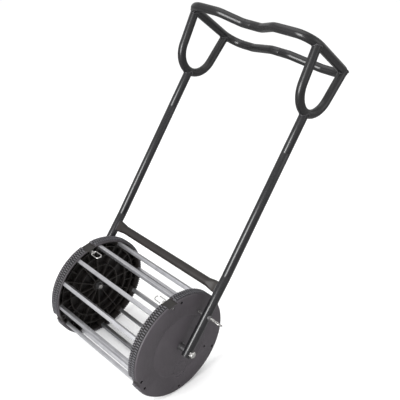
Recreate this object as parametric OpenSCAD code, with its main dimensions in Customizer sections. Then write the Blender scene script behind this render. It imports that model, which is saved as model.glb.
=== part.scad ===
// Hand-pushed open bar-cage roller: two toothed side wheels joined by square
// bars, turning on axle bolts at the foot of a twin-tube handle.
// X runs along the axle, Y points back to the user, Z points up.
// The origin is the centre of the cage, on the axle line.

/* [Drum] */
// Diameter of each side wheel over its tread
wheel_d = 320; // [280:1:380]
// Width of each side wheel
wheel_w = 31; // [28:1:40]
// Clear gap between the two side wheels
cage_gap = 325; // [250:1:420]
// Number of bars in the cage
bar_count = 12; // [8:2:12]
// Side of the square cage bars
bar_size = 11; // [9:0.5:12]
// Radial thickness of the rim, tread included
rim_t = 11; // [9:0.5:14]
// Thickness of a side wheel's disc
disc_t = 4; // [3:0.5:6]
// Depth of the square socket that holds each bar end
socket_depth = 12; // [8:1:13]
// Length of each rim notch along the tread
notch_len = 31; // [20:1:34]
// Depth of each rim notch
notch_depth = 8; // [4:0.5:8]
// Turn of the whole drum at rest
drum_turn = 1.5; // [0:0.5:29]

/* [Axle] */
// Diameter of the axle bolts
bolt_d = 12; // [10:0.5:14]
// Outer diameter of the hub bushes
bush_d = 18; // [17:0.5:22]
// Outer diameter of the wheel hubs
hub_d = 38; // [34:1:44]
// Gap between a side wheel's face and the handle tube
tube_gap = 16.8; // [12:0.2:24]

/* [Handle tubes] */
// Outer diameter of every handle tube
tube_d = 25.4; // [22:0.2:28]
// Wall of every handle tube
tube_wall = 1.5; // [1:0.1:2]
// Lean of the handle back from vertical
lean = 35; // [15:1:50]
// Extra lean of the lower tubes, below their joint
knee = 2.5; // [0.5:0.5:6]
// Distance from the middle of the cross tube to the lower tube joints
joint_over_cross = 38; // [34:1:112]
// Distance from the axle to the upper tube joints
joint_high = 590; // [480:1:700]
// Distance from the wheels' rims to the middle of the cross tube
cross_over_rim = 28; // [20:1:34]
// Height of the cross tube's flattened ends
cross_end_h = 33; // [28:1:36]

/* [Handle top] */
// Distance from the axle to the bottom of the loops, on their centre line
loop_at = 709; // [640:1:820]
// Bend radius of the loops, on their centre line
loop_r = 70; // [60:1:80]
// Outward flare of each loop arm
loop_flare = 8; // [4:1:10]
// Height of the hand rail above the bottom of the loops
rail_rise = 158; // [140:1:190]
// Depth of the hand rail front to back, on its centre lines
rail_depth = 240; // [226:1:280]
// Depth of the hand rail at its waist, on its centre lines
rail_waist = 168; // [140:1:190]
// Backward slope of the hand rail
rail_slope = 2.3; // [0:0.1:6]
// Corner radius of the hand rail
rail_corner = 52; // [45:1:60]

/* [Pins] */
// Diameter of the pull pins
pin_d = 8; // [6:0.5:8]
// Pull-out travel of the pull pins
pin_travel = 8; // [5:0.5:9]
// Distance of the lock pins and the lock holes from the axle
lock_at = 108; // [95:1:120]
// Distance of the rim pins from the axle
rim_pin_at = 143.5; // [142:0.5:144]
// Length of the pull loops
pull_len = 35; // [28:1:40]
// Width of the pull loops
pull_w = 20; // [16:1:24]
// Wire of the pull loops
pull_wire = 3; // [2:0.5:3.5]

/* [Hidden] */
$fn = 48;

// Distances from the axle to the middle of the cross tube and to the lower tube joints.
cross_at = wheel_d / 2 + cross_over_rim;
joint_low = cross_at + joint_over_cross;

// Fits: a running fit, a seated fit and a gap between faces that pass each other.
run_gap = 0.05;
seat_gap = 0.02;
face_gap = 0.3;
// How far cuts run past a face, and how far joined shapes run into each other.
past = 1;

wheel_r = wheel_d / 2;
wheel_in = cage_gap / 2;
wheel_out = wheel_in + wheel_w;
disc_in = wheel_out - disc_t;
rim_in_r = wheel_r - rim_t;
edge_chamfer = 1.5;
bar_into_rim = 2;
bar_r = wheel_r - rim_t - bar_size / 2 + bar_into_rim;
bar_step = 360 / bar_count;
socket_wall = 2.6;
boss_side = bar_size + 2 * socket_wall;
boss_set_back = 0.6;
rib_t = 2.5;
rib_h = 15;
rib_step = 1;
rib_shares = [0.42, 0.7, 0.94];
rib_from = hub_d / 2;
rib_to = bar_r - boss_side / 2;
rib_rings = [for (share = rib_shares) rib_from + share * (rib_to - rib_from)];

// Tie bars carry a screw in each end; the other bars only sit in their sockets.
tie_turns = [0, 120, 180, 240];
tie_bar_list = [for (a = tie_turns) round(a / bar_step)];
tie_screw_d = 5;
tie_head_d = 8.4;
tie_head_h = 3.2;
tie_web = 3;
screw_slack = 0.5;
tie_reach = 16;
tie_head_at = wheel_in + socket_depth + tie_web;

// Places of the holes, in bar spaces from the first bar, and their angles about
// the axle, from +Z towards +Y, for the drum at rest.
pin_space = -0.383;
hole_space = -3.583;
lock_space = 4.017;
pin_angle = drum_turn + pin_space * bar_step;
hole_angle = drum_turn + hole_space * bar_step;
lock_angle = drum_turn + lock_space * bar_step;
rim_hole_d = 9.5;
lock_hole_slack = 1;
lock_hole_d = pin_d + lock_hole_slack;

hub_len = 16.5;
hub_in = wheel_out - hub_len;
washer_d = 24;
washer_t = 2;
washer_in_at = hub_in - face_gap - washer_t;
washer_out_at = wheel_out + face_gap;
nut_af = 18;
nut_h = 9.5;
thread_out = 2;
bolt_end = washer_in_at - nut_h - thread_out;
spacer_d = 19;
head_h = 7.5;
head_dome = 4;
head_dome_share = 0.55;

tube_r = tube_d / 2;
bore_r = tube_r - tube_wall;
tube_x = wheel_out + tube_gap + tube_r;
foot_len = 14;
plug_in = 5;
plug_t = 1.6;
knee_y = joint_low * sin(knee);
knee_z = joint_low * cos(knee);
spigot_len = 90;
spigot_wall = 2;
spigot_bend_r = 100;
rail_spigot_len = 40;
screw_d = 5;
screw_head_d = 9;
screw_head_h = 2.6;
screw_head_taper = 0.6;
screw_reach = 7;
screw_up = 24;
cross_flat = 36;
cross_end_t = 12;
cross_lead = 6;
cross_slice = 0.1;
weld_cut = 4;

// Faceted tubes: sides of their section and degrees of bend for each ring.
tube_sides = 20;
bend_step = 9;
saddle_reach = 3 * tube_d;
saddle_steps = 24;

rail_z = loop_at + rail_rise;
rail_mid_x = 34;
front_bend_in = 123;
rear_bend_in = 93;
front_bend_x = tube_x - front_bend_in;
rear_bend_x = tube_x - rear_bend_in;
wave_r = 45;
arm_vertex = loop_at + loop_r - loop_r / sin(loop_flare);
arm_len = (rail_z - arm_vertex) / cos(loop_flare);
arm_top = [arm_len * sin(loop_flare), arm_vertex + arm_len * cos(loop_flare)];

// Spring chamber of a pull pin, measured back from the guided tip.
collar_d = 10.6;
collar_t = 3;
chamber_d = 11.4;
spring_wire = 1;
spring_turns = 5;
spring_shut = 8;
spring_slack = 0.1;
chamber_len = collar_t + pin_travel + spring_shut;
barrel_d = 15;
barrel_stand = 3.5;
pin_tail = 12;
hook_in = 2;
hook_slack = 0.5;
tip_clear = 0.5;
rim_tip_back = 2.5;
rim_shoulder_back = 9;
lock_tip = wheel_out + tip_clear;
lock_shoulder = tube_x - chamber_len / 2;
lock_tail = tube_x + tube_r + barrel_stand + pin_tail;
rim_tip = wheel_out - rim_tip_back;
rim_shoulder = wheel_out - rim_shoulder_back;
rim_guide_t = 3;
rim_guide_in = wheel_in + 2 * boss_set_back;
rim_mouth = rim_guide_in + rim_guide_t;
rim_tail = rim_guide_in - pin_tail;
rim_boss_d = 16;

// ---- Placing ----

// Children at an angle about the axle, at radius r; their +Z points outwards.
module around_axle(angle, r = 0) {
    rotate([-angle, 0, 0]) translate([0, 0, r]) children();
}

// Cylinder along X from x0 to x1.
module rod_x(x0, x1, d) {
    translate([x0, 0, 0]) rotate([0, 90, 0]) cylinder(h = x1 - x0, d = d);
}

// Frame of the lower tubes: Z along the tube.
module lower_frame() {
    rotate([-lean - knee, 0, 0]) children();
}

// Frame of the handle above the bend: Z along the tubes, Y = 0 on their line.
module upper_frame() {
    rotate([-lean, 0, 0]) translate([0, knee_y, 0]) children();
}

module right_side() {
    mirror([1, 0, 0]) children();
}

module both_sides() {
    children();
    mirror([1, 0, 0]) children();
}

// ---- Tube shapes ----

module ring_2d(r_out, r_in) {
    difference() {
        circle(r = r_out);
        if (r_in > 0) circle(r = r_in);
    }
}

// Straight tube along Z from z0 to z1.
module tube_z(z0, z1, r_out, r_in) {
    translate([0, 0, z0]) linear_extrude(height = z1 - z0) ring_2d(r_out, r_in);
}

function turn(a, b, c) = let (u = b - a, w = c - b)
    atan2(u.x * w.y - u.y * w.x, u.x * w.x + u.y * w.y);

function heading(a, b) = atan2(b.y - a.y, b.x - a.x);

// Stations along a path in the XY plane with rounded bends: [x, y, heading].
function stations(path, radii) = let (last = len(path) - 1) concat(
    [[path[0].x, path[0].y, heading(path[0], path[1])]],
    [for (i = [1 : last - 1])
        let (bend = turn(path[i - 1], path[i], path[i + 1]),
            h = heading(path[i - 1], path[i]),
            side = sign(bend) * radii[i],
            back = radii[i] * tan(abs(bend) / 2),
            start = path[i] - back * [cos(h), sin(h)],
            steps = max(2, ceil(abs(bend) / bend_step)))
        for (k = [0 : steps])
            let (g = h + bend * k / steps)
            [start.x + side * (sin(g) - sin(h)), start.y - side * (cos(g) - cos(h)), g]],
    [[path[last].x, path[last].y, heading(path[last - 1], path[last])]]);

// Ring of points round a station: the first half turn starts on its left.
function hoop(st, r) = [for (k = [0 : tube_sides - 1]) let (b = k * 360 / tube_sides)
    [st.x - r * cos(b) * sin(st.z), st.y + r * cos(b) * cos(st.z), r * sin(b)]];

// Hollow skin through rings of points, outer rings first and the bore's rings back again.
module skin(outer, inner) {
    n = len(outer);
    m = tube_sides;
    rings = concat(outer, [for (i = [n - 1 : -1 : 0]) inner[i]]);
    points = [for (ring = rings) for (q = ring) q];
    faces = [for (i = [0 : 2 * n - 1]) for (k = [0 : m - 1])
        let (j = (i + 1) % (2 * n), k2 = (k + 1) % m)
        for (tri = [[i * m + k, j * m + k2, i * m + k2], [i * m + k, j * m + k, j * m + k2]]) tri];
    polyhedron(points, faces);
}

// Tube bent in the XY plane along a path, with a bend radius at each point.
module bent_tube(path, radii, r_out, r_in) {
    line = stations(path, radii);
    skin([for (st = line) hoop(st, r_out)], [for (st = line) hoop(st, r_in)]);
}

// ---- Drum ----

module wheel_profile() {
    polygon([
        [0, disc_in], [rim_in_r, disc_in], [rim_in_r, wheel_in],
        [wheel_r - edge_chamfer, wheel_in], [wheel_r, wheel_in + edge_chamfer],
        [wheel_r, wheel_out - edge_chamfer], [wheel_r - edge_chamfer, wheel_out],
        [0, wheel_out]]);
}

// Radial rib at an angle, h high, from radius r0 to r1.
module radial_rib(angle, h, r0, r1) {
    around_axle(angle, r0) translate([disc_in - h, -rib_t / 2, 0]) cube([h + past, rib_t, r1 - r0]);
}

module wheel_ribs() {
    for (r = rib_rings) {
        rotate([0, 90, 0]) translate([0, 0, disc_in - rib_h])
            linear_extrude(height = rib_h + past) ring_2d(r + rib_t / 2, r - rib_t / 2);
    }
    for (i = [0 : bar_count - 1]) {
        angle = drum_turn + i * bar_step;
        radial_rib(angle, rib_h - rib_step, rib_from - past, rib_rings[2]);
        radial_rib(angle + bar_step / 2, rib_h - 2 * rib_step, rib_rings[1], rim_in_r + past);
    }
}

module wheel_bosses() {
    boss_w = disc_in + past - wheel_in;
    rod_x(hub_in, disc_in + past, hub_d);
    for (i = [0 : bar_count - 1]) {
        around_axle(drum_turn + i * bar_step, bar_r)
            translate([wheel_in + boss_set_back, -boss_side / 2, -boss_side / 2])
            cube([boss_w - boss_set_back, boss_side, boss_side]);
    }
    for (a = [pin_angle, hole_angle]) {
        around_axle(a, rim_pin_at) rod_x(wheel_in + 2 * boss_set_back, disc_in + past, rim_boss_d);
    }
}

module wheel_cuts() {
    side = bar_size + 2 * run_gap;
    rod_x(hub_in - past, wheel_out + past, bush_d + 2 * seat_gap);
    for (i = [0 : bar_count - 1]) {
        around_axle(drum_turn + i * bar_step, bar_r)
            translate([wheel_in - past, -side / 2, -side / 2])
            cube([socket_depth + past, side, side]);
    }
    for (i = tie_bar_list) {
        around_axle(drum_turn + i * bar_step, bar_r) {
            rod_x(wheel_in, wheel_out + past, tie_screw_d + screw_slack);
            rod_x(tie_head_at, wheel_out + past, tie_head_d + screw_slack);
        }
    }
    for (a = [pin_angle, hole_angle]) {
        around_axle(a, wheel_r - notch_depth)
            translate([wheel_in - past, -notch_len / 2, 0])
            cube([wheel_w + 2 * past, notch_len, 2 * notch_depth]);
    }
    around_axle(pin_angle, rim_pin_at) {
        rod_x(rim_shoulder - past, wheel_out + past, pin_d + 2 * run_gap);
        rod_x(rim_tip + tip_clear, wheel_out + past, rim_hole_d);
        rod_x(wheel_in - past, rim_shoulder, chamber_d);
    }
    around_axle(hole_angle, rim_pin_at) rod_x(wheel_in - past, wheel_out + past, rim_hole_d);
    around_axle(lock_angle, lock_at) rod_x(disc_in - rib_h - past, wheel_out + past, lock_hole_d);
}

module side_wheel() {
    difference() {
        union() {
            rotate([0, 90, 0]) rotate_extrude() wheel_profile();
            wheel_ribs();
            wheel_bosses();
        }
        wheel_cuts();
    }
}

module left_side_wheel() {
    color([0.16, 0.16, 0.17]) side_wheel();
}

module right_side_wheel() {
    color([0.16, 0.16, 0.17]) right_side() side_wheel();
}

function is_tie(i) = len(search(i, tie_bar_list)) > 0;

module bar(i) {
    half = wheel_in + socket_depth - run_gap;
    around_axle(drum_turn + i * bar_step, bar_r) difference() {
        translate([-half, -bar_size / 2, -bar_size / 2]) cube([2 * half, bar_size, bar_size]);
        if (is_tie(i)) both_sides() rod_x(half - tie_reach, half + past, tie_screw_d + 2 * run_gap);
    }
}

module cage_bars() {
    color([0.75, 0.76, 0.78]) for (i = [0 : bar_count - 1]) if (!is_tie(i)) bar(i);
}

module tie_bars() {
    color([0.75, 0.76, 0.78]) for (i = [0 : bar_count - 1]) if (is_tie(i)) bar(i);
}

module tie_screw() {
    rod_x(tie_head_at - tie_reach, tie_head_at, tie_screw_d);
    rod_x(tie_head_at, tie_head_at + tie_head_h, tie_head_d);
}

module tie_screws() {
    color([0.2, 0.2, 0.2]) both_sides() for (i = tie_bar_list) {
        around_axle(drum_turn + i * bar_step, bar_r) tie_screw();
    }
}

module hub_bush() {
    difference() {
        rod_x(hub_in, wheel_out, bush_d);
        rod_x(hub_in - past, wheel_out + past, bolt_d + 2 * run_gap);
    }
}

module left_hub_bush() {
    color([0.85, 0.83, 0.76]) hub_bush();
}

module right_hub_bush() {
    color([0.85, 0.83, 0.76]) right_side() hub_bush();
}

// ---- Pull pins ----

// Pin along X: tip, collar and tail are the x of its ends and of its collar's near face.
module pull_pin(tip, collar, tail) {
    dir = tail > tip ? 1 : -1;
    collar_end = collar + dir * collar_t;
    difference() {
        union() {
            rod_x(min(tip, tail), max(tip, tail), pin_d);
            rod_x(min(collar, collar_end), max(collar, collar_end), collar_d);
        }
        translate([tail - dir * (pull_wire / 2 + hook_in), 0, 0]) rotate([90, 0, 0])
            cylinder(h = pin_d + 2 * past, d = pull_wire + 2 * run_gap, center = true);
    }
}

// Bend of the pull loop's wire in the XY plane, from angle a0 over a turn.
module wire_bend(r, a0, turn) {
    rotate([0, 0, a0]) rotate_extrude(angle = turn) translate([r, 0]) circle(d = pull_wire);
}

// Closed wire loop in the XY plane, with a straight bar through the pin's tail.
module pull_loop(tail, dir) {
    r = (pull_w - pull_wire) / 2;
    corner = r - pin_d / 2 - hook_slack;
    len = pull_len - pull_wire;
    hook_at = tail - dir * (pull_wire / 2 + hook_in);
    translate([hook_at, 0, 0]) rotate([0, 0, dir > 0 ? 0 : 180]) {
        rotate([90, 0, 0]) cylinder(h = 2 * (r - corner), d = pull_wire, center = true);
        for (s = [-1, 1]) {
            translate([corner, s * (r - corner), 0]) wire_bend(corner, s > 0 ? 90 : 180, 90);
            translate([0, s * r, 0]) rod_x(corner, len - r, pull_wire);
        }
        translate([len - r, 0, 0]) wire_bend(r, -90, 180);
    }
}

function helix(turns, r, len, steps) = [for (i = [0 : turns * steps])
    [i / (turns * steps) * len, r * cos(i * 360 / steps), r * sin(i * 360 / steps)]];

// Coil spring along X from x0 to x1, as a wire swept with a square section of rings.
module coil_spring(x0, x1, d) {
    steps = 10;
    sides = 4;
    r = (d - spring_wire) / 2;
    line = helix(spring_turns, r, x1 - x0 - spring_wire, steps);
    n = len(line);
    points = [for (i = [0 : n - 1]) for (k = [0 : sides - 1])
        let (a = i * 360 / steps, w = spring_wire / 2, b = k * 360 / sides)
        [line[i].x + w * sin(b), line[i].y + w * cos(b) * cos(a), line[i].z + w * cos(b) * sin(a)]];
    skin = [for (i = [0 : n - 2]) for (k = [0 : sides - 1])
        let (k2 = (k + 1) % sides)
        [i * sides + k, i * sides + k2, (i + 1) * sides + k2, (i + 1) * sides + k]];
    first = [for (k = [sides - 1 : -1 : 0]) k];
    end = [for (k = [0 : sides - 1]) (n - 1) * sides + k];
    translate([x0 + spring_wire / 2, 0, 0]) polyhedron(points, concat(skin, [first, end]));
}

module on_rim_pin() {
    around_axle(pin_angle, rim_pin_at) children();
}

module on_lock_pin() {
    lower_frame() translate([0, 0, lock_at]) children();
}

module left_rim_pin() {
    color([0.8, 0.8, 0.82]) on_rim_pin() pull_pin(rim_tip, rim_shoulder - face_gap, rim_tail);
}

module right_rim_pin() {
    color([0.8, 0.8, 0.82]) right_side() on_rim_pin()
        pull_pin(rim_tip, rim_shoulder - face_gap, rim_tail);
}

module left_rim_pin_loop() {
    color([0.8, 0.8, 0.82]) on_rim_pin() pull_loop(rim_tail, -1);
}

module right_rim_pin_loop() {
    color([0.8, 0.8, 0.82]) right_side() on_rim_pin() pull_loop(rim_tail, -1);
}

module rim_spring() {
    on_rim_pin() coil_spring(rim_mouth + spring_slack,
        rim_shoulder - face_gap - collar_t - spring_slack, collar_d);
}

module left_rim_spring() {
    color([0.6, 0.6, 0.62]) rim_spring();
}

module right_rim_spring() {
    color([0.6, 0.6, 0.62]) right_side() rim_spring();
}

module rim_pin_guides() {
    color([0.6, 0.6, 0.62]) both_sides() on_rim_pin() difference() {
        rod_x(rim_guide_in, rim_mouth, chamber_d - 2 * seat_gap);
        rod_x(rim_guide_in - past, rim_mouth + past, pin_d + 2 * run_gap);
    }
}

module lock_barrel() {
    reach = tube_r + barrel_stand;
    on_lock_pin() difference() {
        rod_x(tube_x - reach, tube_x + reach, barrel_d);
        rod_x(tube_x - reach - past, tube_x + reach + past, pin_d + 2 * run_gap);
        rod_x(lock_shoulder, lock_shoulder + chamber_len, chamber_d);
    }
}

module left_lock_barrel() {
    color([0.25, 0.25, 0.26]) lock_barrel();
}

module right_lock_barrel() {
    color([0.25, 0.25, 0.26]) right_side() lock_barrel();
}

module left_lock_pin() {
    color([0.8, 0.8, 0.82]) on_lock_pin() pull_pin(lock_tip, lock_shoulder + face_gap, lock_tail);
}

module right_lock_pin() {
    color([0.8, 0.8, 0.82]) right_side() on_lock_pin()
        pull_pin(lock_tip, lock_shoulder + face_gap, lock_tail);
}

module left_lock_pin_loop() {
    color([0.8, 0.8, 0.82]) on_lock_pin() pull_loop(lock_tail, 1);
}

module right_lock_pin_loop() {
    color([0.8, 0.8, 0.82]) right_side() on_lock_pin() pull_loop(lock_tail, 1);
}

module lock_spring() {
    on_lock_pin() coil_spring(lock_shoulder + face_gap + collar_t + spring_slack,
        lock_shoulder + chamber_len - spring_slack, collar_d);
}

module left_lock_spring() {
    color([0.6, 0.6, 0.62]) lock_spring();
}

module right_lock_spring() {
    color([0.6, 0.6, 0.62]) right_side() lock_spring();
}

// ---- Axles ----

module hexagon_x(x0, x1, across_flats) {
    translate([x0, 0, 0]) rotate([0, 90, 0])
        cylinder(h = x1 - x0, d = across_flats / cos(30), $fn = 6);
}

module axle_bolt() {
    head_at = tube_x + tube_r;
    lower_frame() {
        rod_x(bolt_end, head_at + past, bolt_d);
        hexagon_x(head_at, head_at + head_h, nut_af);
        translate([head_at + head_h, 0, 0]) rotate([0, 90, 0])
            cylinder(h = head_dome, d1 = nut_af, d2 = nut_af * head_dome_share);
    }
}

module left_axle_bolt() {
    color([0.82, 0.82, 0.84]) axle_bolt();
}

module right_axle_bolt() {
    color([0.82, 0.82, 0.84]) right_side() axle_bolt();
}

module axle_nuts() {
    color([0.82, 0.82, 0.84]) both_sides() lower_frame() difference() {
        hexagon_x(washer_in_at - nut_h, washer_in_at, nut_af);
        rod_x(washer_in_at - nut_h - past, washer_in_at + past, bolt_d + 2 * seat_gap);
    }
}

module washer(x) {
    difference() {
        rod_x(x, x + washer_t, washer_d);
        rod_x(x - past, x + washer_t + past, bolt_d + 2 * seat_gap);
    }
}

module axle_washers() {
    color([0.7, 0.7, 0.72]) both_sides() {
        washer(washer_in_at);
        washer(washer_out_at);
    }
}

module axle_spacers() {
    color([0.35, 0.35, 0.36]) both_sides() lower_frame() difference() {
        rod_x(washer_out_at + washer_t, tube_x, spacer_d);
        rod_x(washer_out_at, tube_x + past, bolt_d + 2 * seat_gap);
        translate([tube_x, 0, -spacer_d]) cylinder(h = 2 * spacer_d, r = tube_r + seat_gap);
    }
}

// ---- Handle ----

// Children at each tube screw's place above the two joints: +Z points out of the rear of the tube.
module at_screws() {
    upper_frame() for (z = [joint_low, joint_high])
        translate([tube_x, tube_r, z + screw_up]) rotate([-90, 0, 0]) children();
}

module screw_holes() {
    at_screws() translate([0, 0, -screw_reach - past])
        cylinder(h = screw_reach + 2 * past, d = screw_d + 2 * seat_gap);
}

// Half space above (side 1) or below (side -1) the plane that halves the angle at the low joint.
module joint_half(side) {
    reach = 4 * tube_d;
    upper_frame() translate([tube_x, 0, knee_z]) rotate([-knee / 2, 0, 0])
        translate([-reach / 2, -reach / 2, side > 0 ? 0 : -reach]) cube(reach);
}

module lower_tube() {
    difference() {
        lower_frame() translate([tube_x, 0, 0])
            tube_z(-foot_len, joint_low + tube_r, tube_r, bore_r);
        joint_half(1);
        lower_frame() {
            rod_x(tube_x - tube_d, tube_x + tube_d, bolt_d + 2 * seat_gap);
            translate([0, 0, lock_at])
                rod_x(tube_x - tube_d, tube_x + tube_d, barrel_d + 2 * seat_gap);
        }
    }
}

module left_lower_tube() {
    color([0.1, 0.1, 0.11]) lower_tube();
}

module right_lower_tube() {
    color([0.1, 0.1, 0.11]) right_side() lower_tube();
}

module foot_plugs() {
    color([0.06, 0.06, 0.06]) both_sides() lower_frame() translate([tube_x, 0, 0]) {
        translate([0, 0, -foot_len - plug_t]) cylinder(h = plug_t, r = tube_r);
        translate([0, 0, -foot_len]) cylinder(h = plug_in, r = bore_r - seat_gap);
    }
}

// Upright oval section at the flattened end of the cross tube.
module cross_oval(x) {
    translate([x, 0, 0]) rotate([0, 90, 0]) linear_extrude(height = cross_slice) hull() {
        translate([(cross_end_h - cross_end_t) / 2, 0]) circle(d = cross_end_t, $fn = 32);
        translate([-(cross_end_h - cross_end_t) / 2, 0]) circle(d = cross_end_t, $fn = 32);
    }
}

module cross_end() {
    round_x = tube_x - tube_r - cross_flat;
    flat_x = tube_x - tube_r - cross_lead;
    hull() {
        rod_x(round_x - cross_slice, round_x, tube_d, $fn = 32);
        cross_oval(flat_x);
    }
    hull() {
        cross_oval(flat_x);
        cross_oval(tube_x - cross_end_t / 2);
    }
}

module cross_tube() {
    color([0.09, 0.08, 0.08]) lower_frame() translate([0, 0, cross_at]) difference() {
        union() {
            reach = tube_x - tube_r - cross_flat;
            rod_x(-reach, reach, tube_d);
            both_sides() cross_end();
        }
        both_sides() translate([tube_x, 0, -cross_end_h])
            cylinder(h = 2 * cross_end_h, r = tube_r + seat_gap);
    }
}

module middle_tube() {
    difference() {
        upper_frame() translate([tube_x, 0, 0])
            tube_z(knee_z - tube_r, joint_high, tube_r, bore_r);
        joint_half(-1);
        screw_holes();
    }
}

module left_middle_tube() {
    color([0.1, 0.1, 0.11]) middle_tube();
}

module right_middle_tube() {
    color([0.1, 0.1, 0.11]) right_side() middle_tube();
}

module loop_frame() {
    upper_frame() translate([tube_x, 0, 0]) rotate([90, 0, 90]) children();
}

module rail_frame() {
    upper_frame() translate([0, 0, rail_z]) rotate([-rail_slope, 0, 0]) children();
}

// Half of the hand rail seen from above, from its front seam to its rear seam.
rail_path = [[0, -rail_waist / 2], [rail_mid_x, -rail_waist / 2],
    [front_bend_x, -rail_depth / 2], [tube_x, -rail_depth / 2],
    [tube_x, rail_depth / 2], [rear_bend_x, rail_depth / 2],
    [rail_mid_x, rail_waist / 2], [0, rail_waist / 2]];
rail_radii = [0, wave_r, wave_r, rail_corner, rail_corner, wave_r, wave_r, 0];

// Distance of a point in the loop's plane frame from the centre line of the rail's side.
// The frame's X points back, its Y along the handle and its Z away from the cage.
function rail_gap(q) =
    let (up = q.y - rail_z,
        y = q.x * cos(rail_slope) - up * sin(rail_slope),
        z = q.x * sin(rail_slope) + up * cos(rail_slope),
        straight = rail_depth / 2 - rail_corner,
        past = max(0, abs(y) - straight),
        across = q.z + rail_corner,
        off = past > 0 ? norm([across, past]) - rail_corner : q.z)
    norm([off, z]);

// Point where a line up a loop arm meets the rail, by halving the step.
function meet(q, dir, low, high, left) = let (mid = (low + high) / 2)
    left == 0 ? q + dir * low
    : rail_gap(q + dir * mid) > tube_r + run_gap ? meet(q, dir, mid, high, left - 1)
    : meet(q, dir, low, mid, left - 1);

// Ring of points at the top of a loop arm, shaped to saddle the rail.
function saddle(st, r, dir) = [for (q = hoop(st, r)) meet(q, dir, -saddle_reach, 0, saddle_steps)];

module grip_loop() {
    front = [-arm_top.x, arm_top.y];
    line = stations([front, [0, arm_vertex], arm_top], [0, loop_r, 0]);
    up_front = [-sin(loop_flare), cos(loop_flare), 0];
    up_rear = [sin(loop_flare), cos(loop_flare), 0];
    last = len(line) - 1;
    loop_frame() skin(
        [for (i = [0 : last]) i == 0 ? saddle(line[0], tube_r, up_front)
            : i == last ? saddle(line[last], tube_r, up_rear) : hoop(line[i], tube_r)],
        [for (i = [0 : last]) i == 0 ? saddle(line[0], bore_r, up_front)
            : i == last ? saddle(line[last], bore_r, up_rear) : hoop(line[i], bore_r)]);
}

module upper_tube() {
    difference() {
        upper_frame() translate([tube_x, 0, 0])
            tube_z(joint_high, loop_at - weld_cut, tube_r, bore_r);
        screw_holes();
        loop_frame() translate([0, loop_at + loop_r, 0]) rotate([0, 0, -120])
            rotate_extrude(angle = 60) translate([loop_r, 0]) circle(r = tube_r + seat_gap);
    }
}

module left_upper_tube() {
    color([0.1, 0.1, 0.11]) upper_tube();
}

module right_upper_tube() {
    color([0.1, 0.1, 0.11]) right_side() upper_tube();
}

module left_grip_loop() {
    color([0.08, 0.08, 0.09]) grip_loop();
}

module right_grip_loop() {
    color([0.08, 0.08, 0.09]) right_side() grip_loop();
}

module left_hand_rail() {
    color([0.08, 0.08, 0.09]) rail_frame() bent_tube(rail_path, rail_radii, tube_r, bore_r);
}

module right_hand_rail() {
    color([0.08, 0.08, 0.09]) right_side() rail_frame()
        bent_tube(rail_path, rail_radii, tube_r, bore_r);
}

module tube_spigots() {
    r = bore_r - run_gap;
    half = spigot_len / 2;
    low = [[-half * sin(knee), knee_z - half * cos(knee)], [0, knee_z], [0, knee_z + half]];
    color([0.55, 0.55, 0.57]) both_sides() difference() {
        union() {
            loop_frame() bent_tube(low, [0, spigot_bend_r, 0], r, r - spigot_wall);
            upper_frame() translate([tube_x, 0, 0])
                tube_z(joint_high - half, joint_high + half, r, r - spigot_wall);
        }
        screw_holes();
    }
}

module rail_spigots() {
    r = bore_r * cos(180 / tube_sides) - run_gap;
    half = rail_spigot_len / 2;
    color([0.55, 0.55, 0.57]) rail_frame() for (s = [-1, 1])
        translate([0, s * rail_waist / 2, 0]) difference() {
            rod_x(-half, half, 2 * r);
            rod_x(-half - past, half + past, 2 * (r - spigot_wall));
        }
}

module tube_screws() {
    color([0.2, 0.2, 0.2]) both_sides() at_screws() {
        translate([0, 0, -screw_reach]) cylinder(h = screw_reach + past, d = screw_d);
        cylinder(h = screw_head_h, d1 = screw_head_d, d2 = screw_head_d * screw_head_taper);
    }
}

left_side_wheel();
right_side_wheel();
cage_bars();
tie_bars();
tie_screws();
left_hub_bush();
right_hub_bush();
left_rim_pin();
right_rim_pin();
left_rim_pin_loop();
right_rim_pin_loop();
left_rim_spring();
right_rim_spring();
rim_pin_guides();
left_axle_bolt();
right_axle_bolt();
axle_nuts();
axle_washers();
axle_spacers();
left_lower_tube();
right_lower_tube();
foot_plugs();
cross_tube();
left_middle_tube();
right_middle_tube();
left_upper_tube();
right_upper_tube();
tube_spigots();
tube_screws();
left_grip_loop();
right_grip_loop();
left_hand_rail();
right_hand_rail();
rail_spigots();
left_lock_pin();
right_lock_pin();
left_lock_pin_loop();
right_lock_pin_loop();
left_lock_spring();
right_lock_spring();
left_lock_barrel();
right_lock_barrel();
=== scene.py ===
"""Looks for a hand-pushed cage reel: toothed side wheels, square bars and a tube handle.

Everything is in metres, in the part's own frame: X along the axle, Y back towards
the user, Z up, with the origin at the centre of the cage.
"""

import logging
import math
from dataclasses import dataclass, field
from enum import Enum
from typing import Callable, Iterable, Sequence

import bmesh
import bpy
from mathutils import Matrix, Vector

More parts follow.
